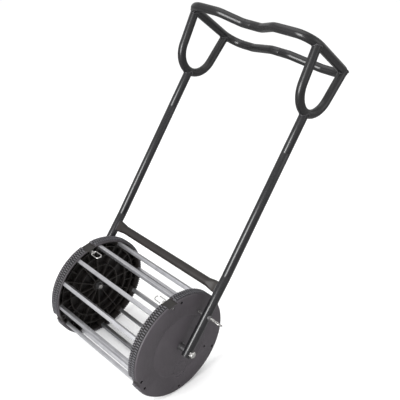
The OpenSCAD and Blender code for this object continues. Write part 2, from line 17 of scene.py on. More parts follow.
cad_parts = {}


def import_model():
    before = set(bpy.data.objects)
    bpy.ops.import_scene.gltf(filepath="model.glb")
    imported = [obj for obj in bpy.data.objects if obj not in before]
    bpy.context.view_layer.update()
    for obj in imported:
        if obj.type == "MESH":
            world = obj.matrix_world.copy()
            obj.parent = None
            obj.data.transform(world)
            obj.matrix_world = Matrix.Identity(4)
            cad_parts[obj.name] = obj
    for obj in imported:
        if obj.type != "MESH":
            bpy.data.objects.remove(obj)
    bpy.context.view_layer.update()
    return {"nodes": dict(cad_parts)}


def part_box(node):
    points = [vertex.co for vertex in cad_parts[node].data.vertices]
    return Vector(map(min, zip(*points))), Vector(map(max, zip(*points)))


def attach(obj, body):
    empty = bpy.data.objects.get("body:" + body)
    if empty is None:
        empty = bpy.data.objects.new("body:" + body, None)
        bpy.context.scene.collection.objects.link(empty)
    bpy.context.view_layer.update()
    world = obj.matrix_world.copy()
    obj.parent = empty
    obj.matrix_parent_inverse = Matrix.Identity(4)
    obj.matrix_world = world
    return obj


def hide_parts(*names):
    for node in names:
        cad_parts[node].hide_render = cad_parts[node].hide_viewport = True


LOG = logging.getLogger("cage_reel")

MM = 0.001
Point = Sequence[float]


class Side(Enum):
    """Which side of the machine a piece is on: the sign of its X."""

    LEFT = 1
    RIGHT = -1

    @property
    def word(self) -> str:
        """The side's name as it is used in the frame's node names."""
        return self.name.lower()


# ---------------------------------------------------------------- finishes


class Shader:
    """A material's node tree, with short calls for the nodes that the finishes share."""

    def __init__(self, name: str) -> None:
        """Starts an empty tree with a Principled shader.

        Args:
            name: The material's name.
        """
        self.material = bpy.data.materials.new(name)
        self.material.use_nodes = True
        self.tree = self.material.node_tree
        self.tree.nodes.clear()
        self.output = self.tree.nodes.new("ShaderNodeOutputMaterial")
        self.principled = self.tree.nodes.new("ShaderNodeBsdfPrincipled")
        self.link(self.principled.outputs["BSDF"], self.output.inputs["Surface"])
        self.coords = self.tree.nodes.new("ShaderNodeTexCoord").outputs["Object"]

    def link(self, source: bpy.types.NodeSocket, target: bpy.types.NodeSocket) -> None:
        """Joins two sockets."""
        self.tree.links.new(source, target)

    def set(self, **values: float) -> None:
        """Sets numbers on the shader's own sockets.

        Args:
            values: Socket names in lower case with underscores, and their values.
        """
        sockets = {s.name.lower().replace(" ", "_"): s for s in self.principled.inputs}
        for key, value in values.items():
            sockets[key].default_value = value

    def stretch(self, scale: Point) -> bpy.types.NodeSocket:
        """Object coordinates multiplied per axis.

        Args:
            scale: The factor for each axis.

        Returns:
            The stretched coordinates.
        """
        node = self.tree.nodes.new("ShaderNodeMapping")
        node.inputs["Scale"].default_value = scale
        self.link(self.coords, node.inputs["Vector"])
        return node.outputs["Vector"]

    def noise(self, scale: float, detail: float = 2.0, rough: float = 0.5,
              vector: bpy.types.NodeSocket | None = None) -> bpy.types.NodeSocket:
        """A noise texture on object coordinates.

        Args:
            scale: How fine the noise is, per metre.
            detail: Octaves.
            rough: Weight of the finer octaves.
            vector: Other coordinates to read.

        Returns:
            The noise's value, near 0.5 on average.
        """
        node = self.tree.nodes.new("ShaderNodeTexNoise")
        node.inputs["Scale"].default_value = scale
        node.inputs["Detail"].default_value = detail
        node.inputs["Roughness"].default_value = rough
        self.link(vector or self.coords, node.inputs["Vector"])
        return node.outputs["Fac"]

    def spread(self, value: bpy.types.NodeSocket, low: float, high: float,
               from_low: float = 0.3, from_high: float = 0.7) -> bpy.types.NodeSocket:
        """Maps a value from one range to another.

        Args:
            value: The value to map.
            low: What from_low becomes.
            high: What from_high becomes.
            from_low: Lowest value read.
            from_high: Highest value read.

        Returns:
            The mapped value.
        """
        node = self.tree.nodes.new("ShaderNodeMapRange")
        node.inputs["From Min"].default_value = from_low
        node.inputs["From Max"].default_value = from_high
        node.inputs["To Min"].default_value = low
        node.inputs["To Max"].default_value = high
        self.link(value, node.inputs["Value"])
        return node.outputs["Result"]

    def ramp(self, value: bpy.types.NodeSocket, low: Point, high: Point,
             start: float = 0.3, stop: float = 0.7) -> bpy.types.NodeSocket:
        """A colour between two, by a value.

        Args:
            value: The value read.
            low: RGB at start.
            high: RGB at stop.
            start: Where low ends.
            stop: Where high begins.

        Returns:
            The colour.
        """
        node = self.tree.nodes.new("ShaderNodeValToRGB")
        node.color_ramp.elements[0].position = start
        node.color_ramp.elements[1].position = stop
        node.color_ramp.elements[0].color = (*low, 1.0)
        node.color_ramp.elements[1].color = (*high, 1.0)
        self.link(value, node.inputs["Fac"])
        return node.outputs["Color"]

    def wear(self, colour: bpy.types.NodeSocket, worn: Point, radius: float,
             amount: float) -> bpy.types.NodeSocket:
        """Lightens edges, where handling rubs a finish.

        Args:
            colour: The colour away from edges.
            worn: RGB of a lightened edge.
            radius: How far from an edge the lightening reaches, in metres.
            amount: How strong it is, from 0 to 1.

        Returns:
            The mixed colour.
        """
        bevel = self.tree.nodes.new("ShaderNodeBevel")
        bevel.samples = 4
        bevel.inputs["Radius"].default_value = radius
        geometry = self.tree.nodes.new("ShaderNodeNewGeometry")
        dot = self.tree.nodes.new("ShaderNodeVectorMath")
        dot.operation = "DOT_PRODUCT"
        self.link(bevel.outputs["Normal"], dot.inputs[0])
        self.link(geometry.outputs["Normal"], dot.inputs[1])
        edge = self.spread(dot.outputs["Value"], amount, 0.0, 0.88, 0.995)
        mix = self.tree.nodes.new("ShaderNodeMix")
        mix.data_type = "RGBA"
        self.link(edge, mix.inputs["Factor"])
        self.link(colour, mix.inputs["A"])
        mix.inputs["B"].default_value = (*worn, 1.0)
        return mix.outputs["Result"]

    def bump(self, height: bpy.types.NodeSocket, depth: float, strength: float = 1.0,
             below: bpy.types.NodeSocket | None = None) -> bpy.types.NodeSocket:
        """A bump normal.

        Args:
            height: The height, from 0 to 1.
            depth: What a height of 1 is, in metres.
            strength: How much of it shows.
            below: A normal to add to.

        Returns:
            The normal.
        """
        node = self.tree.nodes.new("ShaderNodeBump")
        node.inputs["Distance"].default_value = depth
        node.inputs["Strength"].default_value = strength
        self.link(height, node.inputs["Height"])
        if below is not None:
            self.link(below, node.inputs["Normal"])
        return node.outputs["Normal"]

    def colour(self, socket: bpy.types.NodeSocket) -> None:
        """Uses a colour as the base colour."""
        self.link(socket, self.principled.inputs["Base Color"])

    def roughness(self, socket: bpy.types.NodeSocket) -> None:
        """Uses a value as the roughness."""
        self.link(socket, self.principled.inputs["Roughness"])

    def normal(self, socket: bpy.types.NodeSocket) -> None:
        """Uses a normal on the shader."""
        self.link(socket, self.principled.inputs["Normal"])


@dataclass(frozen=True)
class MouldedPlastic:
    """Black moulded plastic with fine spark grain, flow shading and lighter edges: scuffs, and on
    the drum's inside a painted sheen on the rib tips.
    """

    name: str
    dark: Point
    light: Point
    worn: Point
    rough: float = 0.5
    grain: float = 0.00006
    edge: float = 0.5

    def make(self) -> bpy.types.Material:
        """Builds the material.

        Returns:
            The material.
        """
        sh = Shader(self.name)
        sh.set(specular_ior_level=0.45)
        flow = sh.noise(9.0, 3.0, 0.6)
        fine = sh.noise(1600.0, 2.0, 0.6)
        scuff = sh.noise(60.0, 6.0, 0.7, sh.stretch((1.0, 3.0, 1.0)))
        base = sh.ramp(flow, self.dark, self.light)
        # On the drum's inside finish these lighter edges are a painted sheen on the rib tips.
        sh.colour(sh.wear(base, self.worn, 0.0012, self.edge))
        sh.roughness(sh.spread(scuff, self.rough - 0.07, self.rough + 0.09))
        sh.normal(sh.bump(fine, self.grain))
        return sh.material


@dataclass(frozen=True)
class PowderCoat:
    """Black powder coat on steel tube: a clear gloss over faint orange peel."""

    name: str
    dark: Point
    light: Point
    worn: Point
    rough: float
    coat: float
    peel: float = 0.00005

    def make(self) -> bpy.types.Material:
        """Builds the material.

        Returns:
            The material.
        """
        sh = Shader(self.name)
        sh.set(coat_weight=self.coat, coat_roughness=0.2, specular_ior_level=0.45)
        tone = sh.noise(26.0, 3.0, 0.6)
        peel = sh.noise(420.0, 2.0, 0.5)
        dust = sh.noise(2400.0, 1.0, 0.5)
        base = sh.ramp(tone, self.dark, self.light)
        sh.colour(sh.wear(base, self.worn, 0.0009, 0.35))
        sh.roughness(sh.spread(dust, self.rough - 0.05, self.rough + 0.06))
        sh.normal(sh.bump(peel, self.peel))
        return sh.material


@dataclass(frozen=True)
class BareMetal:
    """Bare or plated metal, with drawing marks along one axis and soft tarnish."""

    name: str
    dark: Point
    light: Point
    rough: float
    marks: Point = (3.0, 700.0, 700.0)
    mark_depth: float = 0.00003
    metallic: float = 1.0

    def make(self) -> bpy.types.Material:
        """Builds the material.

        Returns:
            The material.
        """
        sh = Shader(self.name)
        sh.set(metallic=self.metallic)
        drawn = sh.noise(1.0, 4.0, 0.7, sh.stretch(self.marks))
        tarnish = sh.noise(45.0, 4.0, 0.6)
        base = sh.ramp(tarnish, self.dark, self.light)
        sh.colour(sh.wear(base, tuple(min(1.0, c * 1.2) for c in self.light), 0.0006, 0.5))
        sh.roughness(sh.spread(drawn, self.rough - 0.08, self.rough + 0.1))
        sh.normal(sh.bump(drawn, self.mark_depth))
        return sh.material


@dataclass(frozen=True)
class Finishes:
    """Every finish on the machine, made once."""

    wheel: bpy.types.Material
    wheel_inside: bpy.types.Material
    tread: bpy.types.Material
    aluminium: bpy.types.Material
    tube: bpy.types.Material
    rail: bpy.types.Material
    cross: bpy.types.Material
    weld: bpy.types.Material
    zinc: bpy.types.Material
    dull_zinc: bpy.types.Material
    spring: bpy.types.Material
    black_screw: bpy.types.Material
    plug: bpy.types.Material
    nylon: bpy.types.Material
    steel: bpy.types.Material

    @classmethod
    def make(cls) -> "Finishes":
        """Builds all the finishes.

        Returns:
            The set of materials.
        """
        black_edge = (0.16, 0.155, 0.165)
        return cls(
            wheel=MouldedPlastic("wheel_plastic", (0.044, 0.038, 0.044), (0.057, 0.050, 0.057),
                                 black_edge, 0.46).make(),
            # Painted shade: a darker copy of the wheel plastic for the drum's inside and the
            # tread's recesses; its lighter edge colour is a painted sheen on the rib tips.
            wheel_inside=MouldedPlastic("wheel_inner_plastic", (0.012, 0.010, 0.009),
                                        (0.018, 0.016, 0.015), (0.07, 0.065, 0.06), 0.38).make(),
            tread=MouldedPlastic("tread_plastic", (0.045, 0.044, 0.05), (0.07, 0.068, 0.075),
                                 (0.22, 0.215, 0.225), 0.52, 0.00008, 0.7).make(),
            aluminium=BareMetal("bar_aluminium", (0.56, 0.56, 0.585), (0.7, 0.7, 0.725),
                                0.36).make(),
            tube=PowderCoat("tube_black", (0.007, 0.007, 0.008), (0.011, 0.0105, 0.012),
                            (0.12, 0.118, 0.125), 0.27, 0.3).make(),
            rail=PowderCoat("rail_black", (0.006, 0.006, 0.0065), (0.01, 0.0095, 0.0105),
                            (0.1, 0.098, 0.104), 0.3, 0.25).make(),
            cross=PowderCoat("cross_black", (0.011, 0.0085, 0.0075), (0.016, 0.0125, 0.011),
                             (0.09, 0.08, 0.075), 0.55, 0.05, 0.00009).make(),
            weld=PowderCoat("weld_black", (0.018, 0.017, 0.019), (0.028, 0.027, 0.03),
                            (0.08, 0.08, 0.085), 0.36, 0.4, 0.0003).make(),
            zinc=BareMetal("bright_zinc", (0.6, 0.59, 0.575), (0.76, 0.75, 0.73), 0.24,
                           (260.0, 260.0, 260.0)).make(),
            dull_zinc=BareMetal("dull_zinc", (0.17, 0.168, 0.172), (0.27, 0.267, 0.272), 0.42,
                                (300.0, 300.0, 300.0)).make(),
            spring=BareMetal("spring_steel", (0.4, 0.4, 0.42), (0.52, 0.52, 0.54), 0.3).make(),
            black_screw=BareMetal("black_oxide", (0.03, 0.03, 0.032), (0.05, 0.05, 0.052), 0.4,
                                  (300.0, 300.0, 300.0), 0.00002, 0.6).make(),
            plug=MouldedPlastic("plug_plastic", (0.018, 0.018, 0.018), (0.028, 0.028, 0.028),
                                (0.08, 0.08, 0.08), 0.6).make(),
            nylon=MouldedPlastic("natural_nylon", (0.6, 0.57, 0.48), (0.7, 0.67, 0.58),
                                 (0.78, 0.76, 0.68), 0.42).make(),
            steel=BareMetal("plain_steel", (0.4, 0.4, 0.41), (0.5, 0.5, 0.51), 0.4).make(),
        )


# ---------------------------------------------------------------- mesh building


def about_x(angle: float) -> Matrix:
    """Turn that carries +Z towards +Y by an angle about the axle.

    Args:
        angle: Degrees from +Z towards +Y.

    Returns:
        The rotation.
    """
    return Matrix.Rotation(math.radians(-angle), 4, "X")


@dataclass
class Draft:
    """A mesh being drawn: points and faces, in metres."""

    points: list[Vector] = field(default_factory=list)
    faces: list[tuple[int, ...]] = field(default_factory=list)

    def add(self, other: "Draft", place: Matrix | None = None) -> "Draft":
        """Adds another draft, placed by a matrix.

        Args:
            other: The draft to add.
            place: Where it goes.

        Returns:
            This draft.
        """
        base = len(self.points)
        self.points += [place @ p if place else p.copy() for p in other.points]
        self.faces += [tuple(i + base for i in f) for f in other.faces]
        return self

    def skin(self, rings: Sequence[Sequence[Vector]], closed_along: bool = False,
             caps: bool = True) -> "Draft":
        """Adds a skin through rings that have the same number of points.

        Args:
            rings: The rings, in order.
            closed_along: True if the last ring joins the first.
            caps: True to close the two ends.

        Returns:
            This draft.
        """
        base = len(self.points)
        n, m = len(rings), len(rings[0])
        for ring in rings:
            self.points += [Vector(p) for p in ring]
        for i in range(n if closed_along else n - 1):
            j = (i + 1) % n
            for k in range(m):
                l = (k + 1) % m
                self.faces.append((base + i * m + k, base + i * m + l, base + j * m + l,
                                   base + j * m + k))
        if caps and not closed_along:
            self.faces.append(tuple(base + k for k in reversed(range(m))))
            self.faces.append(tuple(base + (n - 1) * m + k for k in range(m)))
        return self

    def lathe(self, profile: Sequence[tuple[float, float]], sides: int = 64) -> "Draft":
        """Adds a solid of revolution about X from a closed outline.

        Args:
            profile: Corners as (radius, x); a corner of radius 0 lies on the axis.
            sides: Sides of the revolution.

        Returns:
            This draft.
        """
        index: list[list[int]] = []
        for r, x in profile:
            if r == 0:
                self.points.append(Vector((x, 0.0, 0.0)))
                index.append([len(self.points) - 1] * sides)
            else:
                start = len(self.points)
                self.points += [Vector((x, r * math.sin(a), r * math.cos(a)))
                                for a in (2 * math.pi * k / sides for k in range(sides))]
                index.append(list(range(start, start + sides)))
        for a, b in zip(index, index[1:] + index[:1]):
            for k in range(sides):
                l = (k + 1) % sides
                quad = []
                for i in (a[k], a[l], b[l], b[k]):
                    if i not in quad:
                        quad.append(i)
                if len(quad) > 2:
                    self.faces.append(tuple(quad))
        return self

    def block(self, low: Point, high: Point) -> "Draft":
        """Adds a box between two corners.

        Args:
            low: Lowest corner.
            high: Highest corner.

        Returns:
            This draft.
        """
        (x0, y0, z0), (x1, y1, z1) = low, high
        ring = [(y0, z0), (y1, z0), (y1, z1), (y0, z1)]
        return self.skin([[Vector((x, y, z)) for y, z in ring] for x in (x0, x1)])

    def mesh(self, name: str, material: bpy.types.Material, smooth: float = 35.0,
             bevel: float = 0.0, segments: int = 2) -> bpy.types.Object:
        """Turns the draft into an object with clean outward faces.

        Args:
            name: The object's name.
            material: Its finish.
            smooth: Edges sharper than this, in degrees, stay sharp.
            bevel: Width of the rounding on sharp edges, in metres.
            segments: Segments of that rounding.

        Returns:
            The finished object.
        """
        mesh = bpy.data.meshes.new(name)
        mesh.from_pydata(self.points, [], self.faces)
        return finish_mesh(mesh, name, material, smooth, bevel, segments)


def finish_mesh(mesh: bpy.types.Mesh, name: str, material: bpy.types.Material,
                smooth: float = 35.0, bevel: float = 0.0, segments: int = 2,
                merge: float = 1e-6) -> bpy.types.Object:
    """Cleans a mesh and links it as an object.

    Args:
        mesh: The mesh.
        name: The object's name.
        material: Its finish.
        smooth: Edges sharper than this, in degrees, stay sharp.
        bevel: Width of the rounding on sharp edges, in metres.
        segments: Segments of that rounding.
        merge: Points closer than this are merged.

    Returns:
        The object.
    """
    bm = bmesh.new()
    bm.from_mesh(mesh)
    bmesh.ops.remove_doubles(bm, verts=bm.verts, dist=merge)
    bmesh.ops.recalc_face_normals(bm, faces=bm.faces)
    if bevel > 0:
        sharp = [e for e in bm.edges if e.is_manifold
                 and e.calc_face_angle(0.0) > math.radians(smooth)]
        bmesh.ops.bevel(bm, geom=sharp, offset=bevel, segments=segments, profile=0.5,
                        affect="EDGES", clamp_overlap=True)
    for face in bm.faces:
        face.smooth = True
    bm.to_mesh(mesh)
    bm.free()
    mesh.materials.clear()
    mesh.materials.append(material)
    mesh.set_sharp_from_angle(angle=math.radians(smooth))
    obj = bpy.data.objects.new(name, mesh)
    bpy.context.scene.collection.objects.link(obj)
    return obj


def carve(obj: bpy.types.Object, cutters: Iterable[Draft]) -> bpy.types.Object:
    """Cuts drafts out of an object and keeps the result as its mesh.

    Args:
        obj: The object to cut.
        cutters: What is taken away.

    Returns:
        The same object.
    """
    material = obj.data.materials[0]
    merged = Draft()
    for cutter in cutters:
        merged.add(cutter)
    tool = merged.mesh(obj.name + "_tool", material)
    modifier = obj.modifiers.new("carve", "BOOLEAN")
    modifier.operation = "DIFFERENCE"
    modifier.solver = "EXACT"
    modifier.use_self = True
    modifier.object = tool
    bake(obj)
    bpy.data.objects.remove(tool)
    obj.data.materials.clear()
    obj.data.materials.append(material)
    for polygon in obj.data.polygons:
        polygon.material_index = 0
        polygon.use_smooth = True
    obj.data.set_sharp_from_angle(angle=math.radians(35.0))
    return obj


def bake(obj: bpy.types.Object) -> None:
    """Replaces an object's mesh by its evaluated mesh and drops its modifiers.

    Args:
        obj: The object.
    """
    bpy.context.view_layer.update()
    graph = bpy.context.evaluated_depsgraph_get()
    mesh = bpy.data.meshes.new_from_object(obj.evaluated_get(graph))
    obj.modifiers.clear()
    obj.data = mesh


def join(parts: Sequence[bpy.types.Object], name: str) -> bpy.types.Object:
    """Joins objects, keeping each one's finish on its own faces.

    Args:
        parts: The objects.
        name: The result's name.

    Returns:
        The joined object.
    """
    bpy.ops.object.select_all(action="DESELECT")
    for part in parts:
        part.select_set(True)
    bpy.context.view_layer.objects.active = parts[0]
    bpy.ops.object.join()
    parts[0].name = name
    return parts[0]


# ---------------------------------------------------------------- geometry nodes


class RingOfPieces:
    """Geometry Nodes tree that repeats a mesh around the axle, leaving stated gaps."""

    NAME = "pieces_around_axle"

    def __init__(self) -> None:
        """Builds the tree once."""
        tree = bpy.data.node_groups.new(self.NAME, "GeometryNodeTree")
        self.tree = tree
        face = tree.interface
        face.new_socket("Geometry", in_out="INPUT", socket_type="NodeSocketGeometry")
        for name, kind in (("Count", "NodeSocketInt"), ("Turn", "NodeSocketFloat"),
                           ("Step", "NodeSocketFloat"), ("Gap A", "NodeSocketFloat"),
                           ("Gap B", "NodeSocketFloat"), ("Gap Half Width", "NodeSocketFloat"),
                           ("Finish", "NodeSocketMaterial")):
            face.new_socket(name, in_out="INPUT", socket_type=kind)
        face.new_socket("Geometry", in_out="OUTPUT", socket_type="NodeSocketGeometry")
        enter = tree.nodes.new("NodeGroupInput")
        leave = tree.nodes.new("NodeGroupOutput")
        points = tree.nodes.new("GeometryNodePoints")
        index = tree.nodes.new("GeometryNodeInputIndex")
        instance = tree.nodes.new("GeometryNodeInstanceOnPoints")
        real = tree.nodes.new("GeometryNodeRealizeInstances")
        dress = tree.nodes.new("GeometryNodeSetMaterial")
        turn = tree.nodes.new("ShaderNodeCombineXYZ")
        link = tree.links.new

        angle = self._math("MULTIPLY_ADD", index.outputs[0], enter.outputs["Step"],
                           enter.outputs["Turn"])
        link(self._math("MULTIPLY", angle, -1.0), turn.inputs["X"])
        clear = None
        for gap in ("Gap A", "Gap B"):
            away = self._math("SUBTRACT", angle, enter.outputs[gap])
            wrapped = self._math("WRAP", away, math.pi, -math.pi)
            far = self._math("GREATER_THAN", self._math("ABSOLUTE", wrapped),
                             enter.outputs["Gap Half Width"])
            clear = far if clear is None else self._math("MULTIPLY", clear, far)
        link(enter.outputs["Count"], points.inputs["Count"])
        link(points.outputs["Points"], instance.inputs["Points"])
        link(clear, instance.inputs["Selection"])
        link(enter.outputs["Geometry"], instance.inputs["Instance"])
        link(turn.outputs["Vector"], instance.inputs["Rotation"])
        link(instance.outputs["Instances"], real.inputs["Geometry"])
        link(real.outputs["Geometry"], dress.inputs["Geometry"])
        link(enter.outputs["Finish"], dress.inputs["Material"])
        link(dress.outputs["Geometry"], leave.inputs["Geometry"])

    def _math(self, operation: str, *values: object) -> bpy.types.NodeSocket:
        """Adds a math node.

        Args:
            operation: The operation's name.
            values: Sockets or numbers for its inputs.

        Returns:
            Its result.
        """
        node = self.tree.nodes.new("ShaderNodeMath")
        node.operation = operation
        for i, value in enumerate(values):
            if isinstance(value, bpy.types.NodeSocket):
                self.tree.links.new(value, node.inputs[i])
            else:
                node.inputs[i].default_value = value
        return node.outputs["Value"]

    def repeat(self, obj: bpy.types.Object, count: int, turn: float, step: float,
               gaps: tuple[float, float] = (0.0, 0.0), gap_half: float = -1.0
               ) -> bpy.types.Object:
        """Repeats an object's mesh around the axle and bakes the result.

        Args:
            obj: The object with one copy of the shape at angle 0, over the axle.
            count: How many copies.
            turn: Angle of the first copy, in degrees from +Z towards +Y.
            step: Angle between copies, in degrees.
            gaps: Angles of two gaps, in degrees.
            gap_half: Half width of each gap, in degrees, or -1 for none.

        Returns:
            The same object, with the copies as its mesh.
        """
        modifier = obj.modifiers.new(self.NAME, "NODES")
        modifier.node_group = self.tree
        values = {"Count": count, "Turn": math.radians(turn), "Step": math.radians(step),
                  "Gap A": math.radians(gaps[0]), "Gap B": math.radians(gaps[1]),
                  "Gap Half Width": math.radians(gap_half),
                  "Finish": obj.data.materials[0]}
        for item in self.tree.interface.items_tree:
            if item.in_out == "INPUT" and item.name in values:
                modifier[item.identifier] = values[item.name]
        bake(obj)
        obj.data.set_sharp_from_angle(angle=math.radians(35.0))
        return obj


# ---------------------------------------------------------------- bent tubes


@dataclass(frozen=True)
class Bend:
    """A rounded path of straights and bends, in space."""

    corners: tuple[Vector, ...]
    radii: tuple[float, ...]
    step: float = 4.0

    def line(self) -> list[tuple[Vector, Vector]]:
        """Points along the path, each with its direction.

        Returns:
            Pairs of point and unit direction.
        """
        pts = self.corners
        first = (pts[1] - pts[0]).normalized()
        out = [(pts[0].copy(), first)]
        for i in range(1, len(pts) - 1):
            u = (pts[i] - pts[i - 1]).normalized()
            w = (pts[i + 1] - pts[i]).normalized()
            angle = u.angle(w)
            radius = self.radii[i]
            start = pts[i] - u * (radius * math.tan(angle / 2))
            inward = (w - u * w.dot(u)).normalized()
            steps = max(3, math.ceil(math.degrees(angle) / self.step))
            for k in range(steps + 1):
                a = angle * k / steps
                point = start + u * (radius * math.sin(a)) + inward * (radius * (1 - math.cos(a)))
                out.append((point, u * math.cos(a) + inward * math.sin(a)))
        out.append((pts[-1].copy(), (pts[-1] - pts[-2]).normalized()))
        return out


def hoop(at: Vector, way: Vector, radius: float, up: Vector, sides: int) -> list[Vector]:
    """Points round a tube's centre line.

    Args:
        at: The centre.
        way: The tube's direction there.
        radius: The ring's radius.
        up: A direction across the tube.
        sides: How many points.

    Returns:
        The points.
    """
    left = up.cross(way).normalized()
    return [at + left * (radius * math.cos(b)) + up * (radius * math.sin(b))
            for b in (2 * math.pi * k / sides for k in range(sides))]


def tube(line: Sequence[tuple[Vector, Vector]], r_out: float, r_in: float, up: Vector,
         sides: int = 40, chamfer: float = 0.0,
         trim: Callable[[Vector, Vector], Vector] | None = None,
         chamfer_last: bool = True) -> Draft:
    """A hollow tube swept along a line that lies in a plane.

    Args:
        line: Points and directions.
        r_out: Outer radius.
        r_in: Inner radius.
        up: The normal of the line's plane.
        sides: Sides of the section.
        chamfer: Rounding of the outer ends.
        trim: Moves the points of the two end rings along the tube.
        chamfer_last: False to leave the last end square.

    Returns:
        The tube.
    """
    def end_ring(at: Vector, way: Vector, r: float, shift: float) -> list[Vector]:
        """A ring at an end, trimmed and then moved along the tube."""
        ring = hoop(at, way, r, up, sides)
        return [(trim(q, way) if trim else q) + way * shift for q in ring]

    last = len(line) - 1
    outer, inner = [], []
    for i, (at, way) in enumerate(line):
        if 0 < i < last:
            outer.append(hoop(at, way, r_out, up, sides))
            inner.append(hoop(at, way, r_in, up, sides))
            continue
        inner.append(end_ring(at, way, r_in, 0.0))
        cut = chamfer if i == 0 or chamfer_last else 0.0
        steps = [(0.0, cut), (0.3 * cut, 0.3 * cut), (cut, 0.0)] if cut > 0 else [(0.0, 0.0)]
        inward = 1 if i == 0 else -1
        for along, less in steps if i == 0 else steps[::-1]:
            outer.append(end_ring(at, way, r_out - less, inward * along))
    return Draft().skin(outer + inner[::-1], closed_along=True)


def bead(path: Sequence[Vector], radius: float, sides: int = 8, ripple: float = 0.12) -> Draft:
    """A weld bead: a closed roll of metal along a closed path, with faint ripples.

    Args:
        path: The closed path.
        radius: The bead's radius.
        sides: Sides of its section.
        ripple: Share by which its radius swells and shrinks.

    Returns:
        The bead.
    """
    n = len(path)
    rings = []
    side = Vector()
    for i, at in enumerate(path):
        way = (path[(i + 1) % n] - path[i - 1]).normalized()
        side = way.orthogonal() if i == 0 else side - way * side.dot(way)
        side.normalize()
        other = way.cross(side)
        r = radius * (1 + ripple * math.sin(i * math.pi * 0.9))
        rings.append([at + side * (r * math.cos(a)) + other * (r * math.sin(a))
                      for a in (2 * math.pi * k / sides for k in range(sides))])
    return Draft().skin(rings, closed_along=True)


# ---------------------------------------------------------------- sizes


@dataclass(frozen=True)
class Plan:
    """The machine's sizes, in metres and degrees, with some of them read from the frame."""

    wheel_r: float
    wheel_in: float
    wheel_out: float
    tube_x: float
    tube_r: float
    floor: float
    drum_turn: float = 1.5
    bar_count: int = 12
    bar_size: float = 11 * MM
    socket_depth: float = 12 * MM
    screw_seat: float = 3 * MM
    pin_spaces: float = -0.383
    hole_spaces: float = -3.583
    lock_spaces: float = 4.017
    tie_turns: tuple[float, ...] = (0.0, 120.0, 180.0, 240.0)
    pin_bore_r: float = 4.05 * MM
    spring_bore_r: float = 5.7 * MM
    disc_t: float = 4 * MM
    rim_t: float = 11 * MM
    bar_into_rim: float = 2 * MM
    hub_r: float = 19 * MM
    bush_r: float = 9.02 * MM
    hub_len: float = 16.5 * MM
    rim_pin_at: float = 143.5 * MM
    lock_at: float = 108 * MM
    lean: float = 35.0
    knee: float = 2.5
    joint_low: float = 226 * MM
    joint_high: float = 590 * MM
    cross_at: float = 188 * MM
    loop_at: float = 709 * MM
    loop_r: float = 70 * MM
    loop_flare: float = 8.0
    rail_rise: float = 158 * MM
    rail_depth: float = 240 * MM
    rail_waist: float = 168 * MM
    rail_slope: float = 2.3
    rail_corner: float = 52 * MM
    tube_wall: float = 1.5 * MM
    foot_len: float = 14 * MM

    @classmethod
    def from_frame(cls) -> "Plan":
        """Reads the wheels' and tubes' places from the frame.

        Returns:
            The plan.
        """
        wheel_low, wheel_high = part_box("left_side_wheel")
        tube_low, tube_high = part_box("left_middle_tube")
        return cls(wheel_r=(wheel_high.y - wheel_low.y) / 2, wheel_in=wheel_low.x,
                   wheel_out=wheel_high.x, tube_x=(tube_low.x + tube_high.x) / 2,
                   tube_r=(tube_high.x - tube_low.x) / 2, floor=wheel_low.z)

    @property
    def disc_in(self) -> float:
        """The inner face of a side wheel's disc."""
        return self.wheel_out - self.disc_t

    @property
    def bar_step(self) -> float:
        """Degrees between bars."""
        return 360 / self.bar_count

    @property
    def bar_r(self) -> float:
        """Distance of the bars from the axle."""
        return self.wheel_r - self.rim_t - self.bar_size / 2 + self.bar_into_rim

    @property
    def pin_angle(self) -> float:
        """Angle of the rim pins."""
        return self.drum_turn + self.pin_spaces * self.bar_step

    @property
    def hole_angle(self) -> float:
        """Angle of the plain rim holes."""
        return self.drum_turn + self.hole_spaces * self.bar_step

    @property
    def lock_angle(self) -> float:
        """Angle of the lock holes."""
        return self.drum_turn + self.lock_spaces * self.bar_step

    @property
    def bore_r(self) -> float:
        """Inner radius of every tube."""
        return self.tube_r - self.tube_wall

    @property
    def rail_z(self) -> float:
        """Distance of the hand rail from the axle, along the handle."""
        return self.loop_at + self.rail_rise

    @property
    def tie_angles(self) -> tuple[float, ...]:
        """Angles of the bars that carry a screw in each end."""
        return tuple(self.drum_turn + turn for turn in self.tie_turns)

    def around_axle(self, angle: float, radius: float = 0.0) -> Matrix:
        """Frame at an angle about the axle whose +Z points outwards.

        Args:
            angle: Degrees from +Z towards +Y.
            radius: Distance from the axle.

        Returns:
            The frame.
        """
        return about_x(angle) @ Matrix.Translation((0, 0, radius))

    @property
    def upper(self) -> Matrix:
        """Frame of the handle above the bend, with Z along its tubes."""
        knee_y = self.joint_low * math.sin(math.radians(self.knee))
        return about_x(self.lean) @ Matrix.Translation((0, knee_y, 0))

    @property
    def lower(self) -> Matrix:
        """Frame of the lower tubes, with Z along them."""
        return about_x(self.lean + self.knee)

    @property
    def rail(self) -> Matrix:
        """Frame of the hand rail, with its path in the XY plane."""
        return self.upper @ Matrix.Translation((0, 0, self.rail_z)) @ about_x(self.rail_slope)

    def rod(self, x0: float, x1: float, radius: float, sides: int = 40) -> Draft:
        """Cylinder along X.

        Args:
            x0: Where it starts.
            x1: Where it ends.
            radius: Its radius.
            sides: Its sides.

        Returns:
            The cylinder.
        """
        return Draft().lathe([(0, x0), (radius, x0), (radius, x1), (0, x1)], sides)


def mirrored(obj: bpy.types.Object, name: str) -> bpy.types.Object:
    """A copy of an object for the other side of the machine.

    Args:
        obj: The left-hand object.
        name: The copy's name.

    Returns:
        The right-hand object.
    """
    copy = bpy.data.objects.new(name, obj.data.copy())
    copy.data.transform(Matrix.Scale(-1, 4, (1, 0, 0)))
    copy.data.flip_normals()
    bpy.context.scene.collection.objects.link(copy)
    return copy


